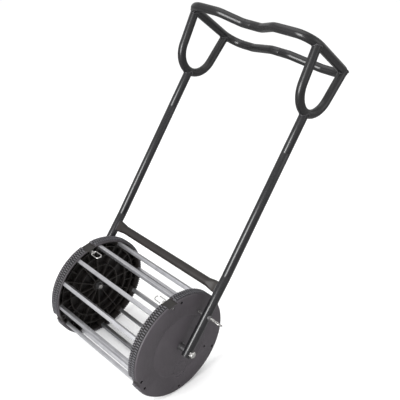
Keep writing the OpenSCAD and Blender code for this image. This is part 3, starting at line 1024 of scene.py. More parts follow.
def stand_in(piece: bpy.types.Object, body: str, slot: str, *nodes: str) -> bpy.types.Object:
    """Seats a finished piece on its body in place of CAD nodes, and reports it.

    Args:
        piece: The finished piece.
        body: The body that it moves with.
        slot: A material slot's name; not used.
        nodes: The nodes that it stands for.

    Returns:
        The piece.
    """
    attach(piece, body)
    if nodes:
        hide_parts(*nodes)
    LOG.info("%s rides on %s, %d faces", piece.name, body, len(piece.data.polygons))
    return piece


def stand_in_pair(left: bpy.types.Object, body: str, slot: str, node: str) -> None:
    """Seats a left-hand piece and its mirror image.

    Args:
        left: The left-hand piece, whose name starts with left.
        body: The body of both, or a name with {side} for a body on each side.
        slot: A material slot's name, handed to stand_in; not used there.
        node: The node that they stand for, without its side.
    """
    right = mirrored(left, left.name.replace("left", "right", 1))
    for piece, side in ((left, Side.LEFT), (right, Side.RIGHT)):
        stand_in(piece, body.format(side=side.word), slot, f"{side.word}_{node}")


# ---------------------------------------------------------------- the drum


@dataclass
class SideWheels:
    """The two moulded side wheels: disc, ribs, bar sockets, rim holes and toothed tread."""

    plan: Plan
    finishes: Finishes
    pieces_around: RingOfPieces
    sides: int = 160
    tread_base: float = 4.3 * MM
    band: float = 6.0 * MM
    rib_t: float = 2.5 * MM
    rib_h: float = 15 * MM
    draft_angle: float = 0.3 * MM
    rib_shares: tuple[float, ...] = (0.42, 0.7, 0.94)
    socket_wall: float = 2.6 * MM
    cleat_count: int = 140
    cleat_base: float = 3.9 * MM
    cleat_tip: float = 2.5 * MM
    row_gap: float = 1.3 * MM
    rim_edge: float = 2.2 * MM
    rim_groove: float = 2.5 * MM
    screw_hole_r: float = 2.75 * MM
    screw_bore_r: float = 4.45 * MM
    screw_mouth_r: float = 5.1 * MM
    rim_hole_r: float = 4.75 * MM
    lock_hole_r: float = 4.5 * MM
    hole_chamfer: float = 0.6 * MM
    shoulder_back: float = 9 * MM
    mouth_back: float = 2 * MM
    rim_boss_r: float = 8 * MM
    rim_boss_back: float = 1.2 * MM
    notch_len: float = 31 * MM
    notch_depth: float = 8 * MM
    circle_r: float = 23.5 * MM
    circle_line: float = 1.5 * MM
    circle_depth: float = 1.1 * MM
    circles: tuple[tuple[float, float], ...] = ((182.5, 82 * MM), (51.0, 78 * MM))

    @property
    def boss_half(self) -> float:
        """Half the side of a bar boss."""
        return self.plan.bar_size / 2 + self.socket_wall

    @property
    def rings(self) -> list[float]:
        """Radii of the ring ribs."""
        start, stop = self.plan.hub_r, self.plan.bar_r - self.boss_half
        return [start + share * (stop - start) for share in self.rib_shares]

    def profile(self) -> list[tuple[float, float]]:
        """The turned section: face, band, tread base, rim, ring ribs and hub.

        Returns:
            Corners as (radius, x).
        """
        p, mm = self.plan, MM
        base, out, disc = p.wheel_r - self.tread_base, p.wheel_out, p.disc_in
        rim_in = p.wheel_r - p.rim_t
        groove_top = base - 1.4 * mm - self.rim_edge
        groove_low = rim_in + 0.8 * mm + self.rim_edge
        line = 95 * mm
        corners = [(p.bush_r, out), (line - 0.6 * mm, out), (line, out - 0.35 * mm),
                   (line + 0.6 * mm, out), (base - 1.2 * mm, out),
                   (base + 0.9 * mm, out - 1.2 * mm),
                   (base + 1.3 * mm, out - 2.0 * mm), (base + 1.3 * mm, out - self.band + 0.8 * mm),
                   (base, out - self.band), (base, p.wheel_in + 1.5 * mm),
                   (base - 1.4 * mm, p.wheel_in), (groove_top, p.wheel_in),
                   (groove_top - 0.3 * mm, p.wheel_in + self.rim_groove),
                   (groove_low + 0.3 * mm, p.wheel_in + self.rim_groove),
                   (groove_low, p.wheel_in), (rim_in + 0.8 * mm, p.wheel_in),
                   (rim_in, p.wheel_in + 0.8 * mm), (rim_in - 0.3 * mm, disc)]
        half, tip = self.rib_t / 2, disc - self.rib_h
        for r in reversed(self.rings):
            thin = half - self.draft_angle
            corners += [(r + half, disc), (r + thin, tip), (r - thin, tip), (r - half, disc)]
        hub_in = out - p.hub_len
        corners += [(p.hub_r + 0.4 * mm, disc), (p.hub_r, hub_in + 0.6 * mm),
                    (p.hub_r - 0.6 * mm, hub_in), (p.bush_r, hub_in)]
        return corners

    def rib(self, angle: float, height: float, r0: float, r1: float) -> Draft:
        """A radial rib that thins towards its free edge.

        Args:
            angle: Its angle about the axle.
            height: Its height above the disc.
            r0: Where it starts.
            r1: Where it ends.

        Returns:
            The rib.
        """
        disc = self.plan.disc_in
        rings = []
        for x, half in ((disc - height, self.rib_t / 2 - self.draft_angle),
                        (disc + 1 * MM, self.rib_t / 2)):
            rings.append([Vector((x, -half, r0)), Vector((x, half, r0)),
                          Vector((x, half, r1)), Vector((x, -half, r1))])
        return Draft().add(Draft().skin(rings), self.plan.around_axle(angle))

    def mouldings(self) -> Draft:
        """Ribs and bosses that stand on the disc.

        Returns:
            All of them, as shells that run into the turned body.
        """
        p = self.plan
        draft = Draft()
        rim_in = p.wheel_r - p.rim_t
        for i in range(p.bar_count):
            angle = p.drum_turn + i * p.bar_step
            draft.add(self.rib(angle, self.rib_h - 1 * MM, p.hub_r - 1 * MM, self.rings[2]))
            draft.add(self.rib(angle + p.bar_step / 2, self.rib_h - 2 * MM, self.rings[1],
                               rim_in + 1 * MM))
            half = self.boss_half
            boss = Draft().block((p.wheel_in + 0.6 * MM, -half, -half),
                                 (p.disc_in + 1 * MM, half, half))
            draft.add(boss, p.around_axle(angle, p.bar_r))
        for angle in (p.pin_angle, p.hole_angle):
            draft.add(p.rod(p.wheel_in + self.rim_boss_back, p.disc_in + 1 * MM, self.rim_boss_r),
                      p.around_axle(angle, p.rim_pin_at))
        return draft

    def cutters(self) -> list[Draft]:
        """Everything that is cut from the wheel.

        Returns:
            The cutters.
        """
        p, past = self.plan, 1 * MM
        half = p.bar_size / 2 + 0.05 * MM
        low, high = p.wheel_in - past, p.wheel_out + past
        out: list[Draft] = []
        for i in range(p.bar_count):
            socket = Draft().block((low, -half, -half), (p.wheel_in + p.socket_depth, half, half))
            out.append(Draft().add(socket, p.around_axle(p.drum_turn + i * p.bar_step, p.bar_r)))
        head_at = p.wheel_in + p.socket_depth + p.screw_seat
        for angle in p.tie_angles:
            wide = self.screw_mouth_r
            hole = Draft().lathe([(0, low), (self.screw_hole_r, low), (self.screw_hole_r, head_at),
                                  (self.screw_bore_r, head_at),
                                  (self.screw_bore_r, p.wheel_out - 0.5 * MM),
                                  (wide, p.wheel_out + 0.1 * MM), (wide, high), (0, high)], 32)
            out.append(Draft().add(hole, p.around_axle(angle, p.bar_r)))
        notch = Draft().block((low, -self.notch_len / 2, 0),
                              (high, self.notch_len / 2, 2 * self.notch_depth))
        for angle in (p.pin_angle, p.hole_angle):
            out.append(Draft().add(notch, p.around_axle(angle, p.wheel_r - self.notch_depth)))
        mouth, edge = self.rim_hole_r, self.hole_chamfer
        shoulder, tip = p.wheel_out - self.shoulder_back, p.wheel_out - self.mouth_back
        pin_hole = Draft().lathe([(0, low), (p.spring_bore_r, low), (p.spring_bore_r, shoulder),
                                  (p.pin_bore_r, shoulder), (p.pin_bore_r, tip), (mouth, tip),
                                  (mouth, p.wheel_out - 0.4 * MM), (mouth + edge, high),
                                  (0, high)], 40)
        out.append(Draft().add(pin_hole, p.around_axle(p.pin_angle, p.rim_pin_at)))
        for angle, radius, hole_r in ((p.hole_angle, p.rim_pin_at, mouth),
                                      (p.lock_angle, p.lock_at, self.lock_hole_r)):
            hole = Draft().lathe([(0, low), (hole_r, low), (hole_r, p.wheel_out - 0.4 * MM),
                                  (hole_r + edge, high), (0, high)], 40)
            out.append(Draft().add(hole, p.around_axle(angle, radius)))
        for angle, radius in self.circles:
            r = self.circle_r
            low_at, half_line = p.wheel_out - self.circle_depth, self.circle_line / 2
            ring = Draft().lathe([(r - half_line - 0.3 * MM, p.wheel_out + past),
                                  (r - half_line, low_at), (r + half_line, low_at),
                                  (r + half_line + 0.3 * MM, p.wheel_out + past)], 72)
            out.append(Draft().add(ring, p.around_axle(angle, radius)))
        return out

    def cleats(self, row: int) -> bpy.types.Object:
        """One row of tread cleats, repeated round the rim except in the notches.

        Args:
            row: 0 for the row next to the band, 1 for the inner row.

        Returns:
            The row.
        """
        p = self.plan
        step = 360 / self.cleat_count
        width = (p.wheel_out - self.band - p.wheel_in - 1.4 * MM - self.row_gap) / 2
        x1 = p.wheel_out - self.band - row * (width + self.row_gap) - 0.2 * MM
        x0 = x1 - width + self.row_gap / 2
        sunk = p.wheel_r - self.tread_base - 0.5 * MM
        rings = []
        for z, half, inset in ((sunk, self.cleat_base / 2, 0.0),
                               (p.wheel_r - 0.7 * MM, self.cleat_tip / 2 + 0.2 * MM, 0.3 * MM),
                               (p.wheel_r - 0.08 * MM, self.cleat_tip / 2 - 0.35 * MM, 0.9 * MM)):
            rings.append([Vector((x0 + inset, -half, z)), Vector((x1 - inset, -half, z)),
                          Vector((x1 - inset, half, z)), Vector((x0 + inset, half, z))])
        cleat = Draft().skin(rings).mesh(f"cleat_row_{row}", self.finishes.tread)
        gap_half = math.degrees((self.notch_len / 2 + self.cleat_base / 2) / p.wheel_r)
        first = p.drum_turn + row * step / 2
        return self.pieces_around.repeat(cleat, self.cleat_count, first, step,
                                         (p.pin_angle, p.hole_angle), gap_half)

    def dress(self, obj: bpy.types.Object) -> None:
        """Paints shade: darkens the faces inside the drum, in the rim groove and on the tread's
        floor between the cleats with a darker copy of the wheel plastic.

        Args:
            obj: The moulded body.
        """
        p = self.plan
        obj.data.materials.append(self.finishes.wheel_inside)
        rim_in = p.wheel_r - p.rim_t + 0.3 * MM
        for polygon in obj.data.polygons:
            c = polygon.center
            radius = math.hypot(c.y, c.z)
            inside = c.x < p.disc_in + 0.2 * MM and radius < rim_in
            base = p.wheel_r - self.tread_base
            floor = c.x < p.wheel_out - self.band and abs(radius - base) < 0.5 * MM
            groove = c.x < p.disc_in and rim_in < radius < base - 1.4 * MM - self.rim_edge
            # Faces in these places take the darker copy, as painted shade.
            if inside or floor or groove:
                polygon.material_index = 1

    def build(self) -> None:
        """Builds both wheels and seats them on the drum."""
        body = Draft().lathe(self.profile(), self.sides)
        body.add(self.mouldings())
        wheel = body.mesh("left_wheel_moulding", self.finishes.wheel)
        carve(wheel, self.cutters())
        self.dress(wheel)
        stand_in_pair(wheel, "drum", "black_moulding", "side_wheel")
        for row in (0, 1):
            cleats = self.cleats(row)
            cleats.name = f"left_tread_row_{row + 1}"
            other = mirrored(cleats, f"right_tread_row_{row + 1}")
            for piece in (cleats, other):
                stand_in(piece, "drum", "black_moulding")


@dataclass
class Cage:
    """The square bars between the wheels and the screws that hold the tie bars."""

    plan: Plan
    finishes: Finishes
    pieces_around: RingOfPieces
    edge: float = 0.7 * MM
    screw_len: float = 16 * MM
    screw_r: float = 2.5 * MM
    head_r: float = 4.2 * MM
    head_h: float = 3.2 * MM
    key_r: float = 2.0 * MM
    key_depth: float = 1.6 * MM

    def bars(self) -> None:
        """Builds all the bars with their rounded edges."""
        p = self.plan
        half, side = p.wheel_in + p.socket_depth - 0.05 * MM, p.bar_size / 2
        rings = []
        arc = [math.radians(a) for a in (0, 30, 60, 90)]
        corner = side - self.edge
        section = []
        for k in range(4):
            turn = math.radians(90 * k)
            for a in arc:
                y = corner + self.edge * math.cos(a)
                z = corner + self.edge * math.sin(a)
                section.append((y * math.cos(turn) - z * math.sin(turn),
                                y * math.sin(turn) + z * math.cos(turn)))
        for x in (-half, half):
            rings.append([Vector((x, y, z + p.bar_r)) for y, z in section])
        bar = Draft().skin(rings).mesh("square_bars", self.finishes.aluminium, 50.0)
        self.pieces_around.repeat(bar, p.bar_count, p.drum_turn, p.bar_step)
        stand_in(bar, "drum", "bar_aluminium", "cage_bars", "tie_bars")

    def screws(self) -> None:
        """Builds the sunk tie screws with their driven heads."""
        p = self.plan
        head = p.wheel_in + p.socket_depth + p.screw_seat
        top, tip = head + self.head_h, head - self.screw_len
        r, wide = self.screw_r, self.head_r
        six = [(self.key_r * math.cos(a), self.key_r * math.sin(a))
               for a in (math.radians(60 * k) for k in range(6))]
        screw = Draft().lathe([(0, tip), (r - 0.6 * MM, tip), (r, tip + 0.8 * MM), (r, head),
                               (wide, head), (wide, top - 1.0 * MM),
                               (wide - 0.8 * MM, top - 0.2 * MM), (wide - 1.4 * MM, top),
                               (0, top)], 32)
        raw = screw.mesh("sunk_screws", self.finishes.black_screw)
        recess = Draft().skin([[Vector((x, y, z)) for y, z in six]
                               for x in (top - self.key_depth, top + MM)])
        carve(raw, [recess])
        raw.data.transform(Matrix.Translation((0, 0, p.bar_r)))
        pair = raw.copy()
        pair.data = raw.data.copy()
        bpy.context.scene.collection.objects.link(pair)
        first, last = p.tie_angles[0], p.tie_angles[2]
        self.pieces_around.repeat(raw, 3, first, 120.0)
        self.pieces_around.repeat(pair, 1, last, 0.0)
        left = join([raw, pair], "sunk_screws")
        whole = join([left, mirrored(left, "far_screws")], "sunk_screws")
        stand_in(whole, "drum", "black_screw", "tie_screws")

    def build(self) -> None:
        """Builds the bars and their screws."""
        self.bars()
        self.screws()


# ---------------------------------------------------------------- pins and axles


@dataclass
class PullPins:
    """The spring pins: two that lock the drum and two in the wheel rims."""

    plan: Plan
    finishes: Finishes
    pin_r: float = 4 * MM
    collar_r: float = 5.3 * MM
    collar_t: float = 3 * MM
    wire: float = 3 * MM
    loop_w: float = 20 * MM
    loop_len: float = 35 * MM
    hook_in: float = 3.5 * MM
    hook_slack: float = 0.5 * MM
    tip_chamfer: float = 0.7 * MM
    collar_chamfer: float = 0.3 * MM
    groove_depth: float = 0.5 * MM
    barrel_r: float = 7.5 * MM
    barrel_chamfer: float = 0.8 * MM
    barrel_over: float = 3.5 * MM
    chamber_half: float = 9.5 * MM

    def pin(self, name: str, tip: float, collar: float, tail: float, place: Matrix
            ) -> bpy.types.Object:
        """A pin with a chamfered tip, a collar and a cross hole in its tail.

        Args:
            name: Its name.
            tip: X of its tip.
            collar: X of its collar's face that is nearer the tip.
            tail: X of its tail.
            place: Its frame.

        Returns:
            The pin.
        """
        way = 1 if tail > tip else -1
        r, c, neck = self.pin_r, self.collar_r, self.pin_r - self.groove_depth
        cut, edge = self.tip_chamfer, self.collar_chamfer
        back = collar + way * self.collar_t
        steps = [(0, tip), (r - cut, tip), (r, tip + way * cut), (r, collar),
                 (c - edge, collar), (c, collar + way * edge), (c, back - way * edge),
                 (c - edge, back), (r, back), (r, tail - way * 8 * MM),
                 (neck, tail - way * 7.5 * MM), (neck, tail - way * 6.8 * MM),
                 (r, tail - way * 6.3 * MM), (r, tail - way * cut), (r - cut, tail), (0, tail)]
        pin = Draft().lathe(steps, 40).mesh(name, self.finishes.zinc)
        hole = self.plan.rod(-self.pin_r - MM, self.pin_r + MM, self.wire / 2 + 0.05 * MM, 20)
        across = Matrix.Translation((tail - way * self.hook_in, 0, 0)) @ Matrix.Rotation(
            math.radians(90), 4, "Z")
        carve(pin, [Draft().add(hole, across)])
        pin.data.transform(place)
        return pin

    def loop(self, name: str, tail: float, way: int, place: Matrix) -> bpy.types.Object:
        """A closed wire loop with a straight bar through a pin's tail.

        Args:
            name: Its name.
            tail: X of the pin's tail.
            way: Direction of the loop along X.
            place: Its frame.

        Returns:
            The loop.
        """
        r = (self.loop_w - self.wire) / 2
        length = self.loop_len - self.wire
        small = r - self.pin_r - self.hook_slack
        line: list[tuple[float, float, float]] = []
        bends = ((length - r, 0, r, -90, 180), (small, r - small, small, 90, 90),
                 (small, small - r, small, 180, 90))
        for x, y, bend, start, turn in bends:
            steps = turn // 10
            line += [(x + bend * math.cos(a), y + bend * math.sin(a), a)
                     for a in (math.radians(start + turn * k / steps) for k in range(steps + 1))]
        rings = []
        for x, y, a in line:
            out = Vector((math.cos(a), math.sin(a), 0))
            rings.append([Vector((x, y, 0)) + out * (self.wire / 2 * math.cos(b))
                          + Vector((0, 0, self.wire / 2 * math.sin(b)))
                          for b in (2 * math.pi * k / 14 for k in range(14))])
        loop = Draft().skin(rings, closed_along=True).mesh(name, self.finishes.zinc, 60.0)
        hook = tail - way * self.hook_in
        turn = Matrix.Identity(4) if way > 0 else Matrix.Rotation(math.pi, 4, "Z")
        loop.data.transform(place @ Matrix.Translation((hook, 0, 0)) @ turn)
        return loop

    def barrel(self) -> bpy.types.Object:
        """The guide barrel that runs through a lower tube.

        Returns:
            The barrel.
        """
        p = self.plan
        reach = p.tube_r + self.barrel_over
        x0, x1 = p.tube_x - reach, p.tube_x + reach
        bore, wide, r, cut = p.pin_bore_r, p.spring_bore_r, self.barrel_r, self.barrel_chamfer
        shoulder, end = p.tube_x - self.chamber_half, p.tube_x + self.chamber_half
        profile = [(bore, x0), (r - cut, x0), (r, x0 + cut), (r, x1 - cut), (r - cut, x1),
                   (bore + 0.4 * MM, x1), (bore, x1 - 0.4 * MM), (bore, end), (wide, end),
                   (wide, shoulder), (bore, shoulder)]
        return Draft().add(Draft().lathe(profile, 48), self.lock_frame).mesh(
            "left_pin_barrel", self.finishes.dull_zinc)

    @property
    def lock_frame(self) -> Matrix:
        """Frame of the left lock pin."""
        return self.plan.lower @ Matrix.Translation((0, 0, self.plan.lock_at))

    def build(self) -> None:
        """Builds the four pins, their loops and the barrels."""
        p = self.plan
        rim_frame = p.around_axle(p.pin_angle, p.rim_pin_at)
        rim_tail = p.wheel_in + 1.2 * MM - 12 * MM
        lock_tail = p.tube_x + p.tube_r + 15.5 * MM
        rim = self.pin("left_rim_plunger", p.wheel_out - 2.5 * MM, p.wheel_out - 9.3 * MM, rim_tail,
                       rim_frame)
        stand_in_pair(rim, "{side}_rim_pin", "zinc_plate", "rim_pin")
        loop = self.loop("left_rim_pull", rim_tail, -1, rim_frame)
        stand_in_pair(loop, "{side}_rim_pin", "zinc_plate", "rim_pin_loop")
        lock = self.pin("left_lock_plunger", p.wheel_out + 0.5 * MM, p.tube_x - 9.2 * MM, lock_tail,
                        self.lock_frame)
        stand_in_pair(lock, "{side}_lock_pin", "zinc_plate", "lock_pin")
        loop = self.loop("left_lock_pull", lock_tail, 1, self.lock_frame)
        stand_in_pair(loop, "{side}_lock_pin", "zinc_plate", "lock_pin_loop")
        stand_in_pair(self.barrel(), "handle", "dark_zinc", "lock_barrel")


@dataclass
class AxleBolts:
    """The bright domed bolts that carry the wheels."""

    plan: Plan
    finishes: Finishes
    bolt_r: float = 6 * MM
    across_flats: float = 18 * MM
    head_h: float = 7.5 * MM
    dome: float = 4 * MM

    def build(self) -> None:
        """Builds both bolts."""
        p = self.plan
        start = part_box("left_axle_bolt")[0].x
        at = p.tube_x + p.tube_r
        top = at + self.head_h
        half = self.across_flats / 2
        shank = Draft().lathe([(0, start), (self.bolt_r - MM, start), (self.bolt_r, start + MM),
                               (self.bolt_r, at + 2 * MM), (0, at + 2 * MM)], 40)
        corner = half / math.cos(math.radians(30))
        hexagon = Draft().skin([[Vector((x, r * math.sin(math.radians(60 * k)),
                                         r * math.cos(math.radians(60 * k)))) for k in range(6)]
                                for x, r in ((at, corner - 0.5 * MM), (at + 0.5 * MM, corner),
                                             (top - 0.9 * MM, corner), (top, corner - 1.2 * MM))])
        steps = [(half - 0.3 * MM, top - 0.6 * MM), (half - 0.3 * MM, top)]
        steps += [((half - 0.3 * MM) * math.cos(math.radians(a)),
                   top + self.dome * math.sin(math.radians(a))) for a in (10, 20, 32, 45, 58, 72)]
        cap = Draft().lathe([(0, top - 0.6 * MM)] + steps + [(0, top + self.dome)], 40)
        bolt = Draft()
        for draft in (shank, hexagon, cap):
            bolt.add(draft, p.lower)
        obj = bolt.mesh("left_domed_bolt", self.finishes.zinc, 25.0)
        stand_in_pair(obj, "handle", "zinc_plate", "axle_bolt")


# ---------------------------------------------------------------- the handle


@dataclass
class Handle:
    """The twin-tube handle with its cross tube, grip loops and waisted hand rail."""

    plan: Plan
    finishes: Finishes
    seam: float = 0.7 * MM
    bead_r: float = 1.9 * MM
    rail_mid_x: float = 34 * MM
    front_bend_in: float = 123 * MM
    rear_bend_in: float = 93 * MM
    wave_r: float = 45 * MM
    sink: float = 0.3 * MM
    cross_end_h: float = 33 * MM
    cross_end_t: float = 12 * MM
    round_back: float = 36 * MM
    flat_back: float = 6 * MM
    plug_flange: float = 1.6 * MM
    plug_depth: float = 5 * MM
    plug_slack: float = 0.02 * MM

    def loop_gap(self, p: Vector) -> float:
        """Distance of a point from a loop's round bottom, on its centre line.

        Args:
            p: The point, in the upper frame and from the tube's own line.

        Returns:
            The distance.
        """
        plan = self.plan
        rho = math.hypot(p.y, p.z - plan.loop_at - plan.loop_r)
        return math.hypot(rho - plan.loop_r, p.x - plan.tube_x)

    def rail_gap(self, p: Vector) -> float:
        """Distance of a point from the centre line of the hand rail's side.

        Args:
            p: The point, in the upper frame.

        Returns:
            The distance.
        """
        plan = self.plan
        slope, up = math.radians(plan.rail_slope), p.z - plan.rail_z
        y = p.y * math.cos(slope) - up * math.sin(slope)
        z = p.y * math.sin(slope) + up * math.cos(slope)
        beyond = max(0.0, abs(y) - plan.rail_depth / 2 + plan.rail_corner)
        across = p.x - plan.tube_x + plan.rail_corner
        off = math.hypot(across, beyond) - plan.rail_corner if beyond > 0 else p.x - plan.tube_x
        return math.hypot(off, z)

    def meet(self, p: Vector, way: Vector, gap: Callable[[Vector], float]) -> Vector:
        """Slides a point along a tube until it lies just inside another tube's surface.

        Args:
            p: The point.
            way: The tube's direction towards the other tube.
            gap: Distance from the other tube's centre line.

        Returns:
            The point on the surface.
        """
        low, high = -6 * self.plan.tube_r, 0.0
        limit = self.plan.tube_r - self.sink
        for _ in range(24):
            middle = (low + high) / 2
            if gap(p + way * middle) > limit:
                low = middle
            else:
                high = middle
        return p + way * low

    def straight(self, name: str, z0: float, z1: float, place: Matrix,
                 trim: Callable[[Vector, Vector], Vector] | None = None) -> bpy.types.Object:
        """A straight handle tube on the left side.

        Args:
            name: Its name.
            z0: Its lower end, in the frame.
            z1: Its upper end, in the frame.
            place: The frame.
            trim: Shapes its two ends.

        Returns:
            The tube.
        """
        p = self.plan
        line = [(Vector((p.tube_x, 0, z)), Vector((0, 0, 1))) for z in (z0, z1)]
        draft = tube(line, p.tube_r, p.bore_r, Vector((0, 1, 0)), 48, self.seam, trim)
        return Draft().add(draft, place).mesh(name, self.finishes.tube)

    def tubes(self) -> None:
        """Builds the lower, middle and upper tubes."""
        p = self.plan
        tilt = math.tan(math.radians(p.knee / 2))
        knee_z = p.joint_low * math.cos(math.radians(p.knee))

        def low_end(q: Vector, way: Vector) -> Vector:
            """Mitres the lower tube's top at the knee."""
            return q - way * (tilt * q.y) if q.z > p.joint_low - 5 * MM else q

        def mid_end(q: Vector, way: Vector) -> Vector:
            """Mitres the middle tube's foot at the knee."""
            return q + way * (tilt * q.y) if q.z < knee_z + 5 * MM else q

        def top_end(q: Vector, way: Vector) -> Vector:
            """Shapes the upper tube's top to the grip loop."""
            return self.meet(q, way, self.loop_gap) if q.z > p.joint_high + 5 * MM else q

        lower = self.straight("left_tube_low", -p.foot_len, p.joint_low, p.lower, low_end)
        holes = [Draft().add(p.rod(p.tube_x - 20 * MM, p.tube_x + 20 * MM, 6.02 * MM), p.lower),
                 Draft().add(p.rod(p.tube_x - 20 * MM, p.tube_x + 20 * MM, 7.52 * MM),
                             p.lower @ Matrix.Translation((0, 0, p.lock_at)))]
        carve(lower, holes)
        stand_in_pair(lower, "handle", "tube_paint", "lower_tube")
        middle = self.straight("left_tube_middle", knee_z, p.joint_high, p.upper, mid_end)
        stand_in_pair(middle, "handle", "tube_paint", "middle_tube")
        line = [(Vector((p.tube_x, 0, z)), Vector((0, 0, 1))) for z in (p.joint_high, p.loop_at)]
        draft = tube(line, p.tube_r, p.bore_r, Vector((0, 1, 0)), 48, self.seam, top_end,
                     chamfer_last=False)
        upper = Draft().add(draft, p.upper).mesh("left_tube_upper", self.finishes.tube)
        stand_in_pair(upper, "handle", "tube_paint", "upper_tube")

    def loops(self) -> None:
        """Builds the grip loops with their saddled ends and weld beads."""
        p = self.plan
        flare = math.radians(p.loop_flare)
        vertex = p.loop_at + p.loop_r - p.loop_r / math.sin(flare)
        arm = (p.rail_z - vertex) / math.cos(flare)
        top = Vector((p.tube_x, arm * math.sin(flare), vertex + arm * math.cos(flare)))
        front = Vector((top.x, -top.y, top.z))
        bend = Bend((front, Vector((p.tube_x, 0, vertex)), top), (0, p.loop_r, 0), 4.0)
        line = bend.line()

        def saddle(q: Vector, way: Vector) -> Vector:
            """Carries a point of the loop's end up to the rail."""
            up = way if way.z > 0 else -way
            return self.meet(q, up, self.rail_gap)

        normal = Vector((1, 0, 0))
        draft = tube(line, p.tube_r, p.bore_r, normal, 40, 0.0, saddle)
        loop = Draft().add(draft, p.upper).mesh("left_loop_tube", self.finishes.rail)
        stand_in_pair(loop, "handle", "rail_paint", "grip_loop")

        beads = Draft()
        for at, way in (line[0], line[-1]):
            path = [saddle(q, way) for q in hoop(at, way, p.tube_r + 0.5 * MM, normal, 64)]
            beads.add(bead(path, self.bead_r), p.upper)
        at, way = Vector((p.tube_x, 0, p.loop_at)), Vector((0, 0, 1))
        path = [self.meet(q, way, self.loop_gap)
                for q in hoop(at, way, p.tube_r + 0.5 * MM, Vector((0, 1, 0)), 64)]
        beads.add(bead(path, self.bead_r), p.upper)
        welds = beads.mesh("left_loop_welds", self.finishes.weld, 60.0)
        other = mirrored(welds, "right_loop_welds")
        for piece in (welds, other):
            stand_in(piece, "handle", "rail_paint")

    def rails(self) -> None:
        """Builds the two halves of the hand rail."""
        p = self.plan
        deep, waist = p.rail_depth / 2, p.rail_waist / 2
        xy = [(0, -waist), (self.rail_mid_x, -waist), (p.tube_x - self.front_bend_in, -deep),
              (p.tube_x, -deep), (p.tube_x, deep), (p.tube_x - self.rear_bend_in, deep),
              (self.rail_mid_x, waist), (0, waist)]
        radii = (0, self.wave_r, self.wave_r, p.rail_corner, p.rail_corner, self.wave_r,
                 self.wave_r, 0)
        bend = Bend(tuple(Vector((x, y, 0)) for x, y in xy), radii, 4.0)
        draft = tube(bend.line(), p.tube_r, p.bore_r, Vector((0, 0, 1)), 40, self.seam)
        rail = Draft().add(draft, p.rail).mesh("left_rail_tube", self.finishes.rail)
        stand_in_pair(rail, "handle", "rail_paint", "hand_rail")

    def cross(self) -> None:
        """Builds the cross tube, whose flattened ends clasp the lower tubes."""
        p = self.plan
        r = p.tube_r
        round_x, flat_x = p.tube_x - r - self.round_back, p.tube_x - r - self.flat_back
        long_half, thin = (self.cross_end_h - self.cross_end_t) / 2, self.cross_end_t / 2

        def section(x: float, flat: float, wall: float) -> list[Vector]:
            """A ring of the cross tube, from round at flat 0 to pressed flat at flat 1."""
            ring = []
            for k in range(48):
                b = 2 * math.pi * k / 48
                s, c = math.sin(b), math.cos(b)
                y = (1 - flat) * r * s + flat * thin * s
                z = (1 - flat) * r * c + flat * (thin * c + long_half * max(-1, min(1, 5 * c)))
                shrink = 1 - wall / math.hypot(y, z)
                ring.append(Vector((x, y * shrink, z * shrink)))
            return ring

        def clasp(q: Vector) -> Vector:
            """Carries a point of an end ring out to the lower tube's wall."""
            side = math.copysign(1, q.x)
            reach = math.sqrt(max(0.0, (r - self.sink) ** 2 - q.y ** 2))
            return Vector((side * (p.tube_x - reach), q.y, q.z))

        stations = [(0.0, 0.0), (round_x, 0.0)]
        for t in (0.15, 0.3, 0.45, 0.6, 0.75, 0.9, 1.0):
            stations.append((round_x + t * (flat_x - round_x), t * t * (3 - 2 * t)))
        stations.append((p.tube_x - r, 1.0))
        ends = [(-x, f) for x, f in reversed(stations[1:])] + stations
        skins = []
        for wall in (0.0, p.tube_wall):
            rings = [section(x, f, wall) for x, f in ends]
            rings[0] = [clasp(q) for q in rings[0]]
            rings[-1] = [clasp(q) for q in rings[-1]]
            skins.append(rings)
        place = p.lower @ Matrix.Translation((0, 0, p.cross_at))
        draft = Draft().skin(skins[0] + skins[1][::-1], closed_along=True)
        cross = Draft().add(draft, place).mesh("cross_tube_flattened", self.finishes.cross)
        stand_in(cross, "handle", "cross_paint", "cross_tube")
        welds = Draft()
        for rings_end in (0, -1):
            ring = [q + Vector((0, q.y, q.z)).normalized() * (0.4 * MM)
                    for q in skins[0][rings_end]]
            welds.add(bead(ring, self.bead_r * 0.8), place)
        stand_in(welds.mesh("cross_tube_welds", self.finishes.weld, 60.0), "handle", "cross_paint")

    def plugs(self) -> None:
        """Builds the plugs in the feet of the tubes."""
        p = self.plan
        start, r, snug = -p.foot_len, p.tube_r, p.bore_r - self.plug_slack
        under, end = start - self.plug_flange, start + self.plug_depth
        profile = [(0, under), (r - 1.6 * MM, under), (r - 0.4 * MM, start - 1.0 * MM),
                   (r, start - 0.2 * MM), (r, start), (snug, start), (snug, end - 0.6 * MM),
                   (p.bore_r - 0.6 * MM, end), (0, end)]
        turn = Matrix.Translation((p.tube_x, 0, 0)) @ Matrix.Rotation(math.radians(-90), 4, "Y")
        draft = Draft().add(Draft().lathe(profile, 48), p.lower @ turn)
        left = draft.mesh("foot_plugs_ribbed", self.finishes.plug)
        both = join([left, mirrored(left, "far_plug")], "foot_plug_pair")
        stand_in(both, "handle", "plug_plastic", "foot_plugs")

    def build(self) -> None:
        """Builds every piece of the handle."""
        self.tubes()
        self.loops()
        self.rails()
        self.cross()
        self.plugs()


# ---------------------------------------------------------------- carried-over nodes


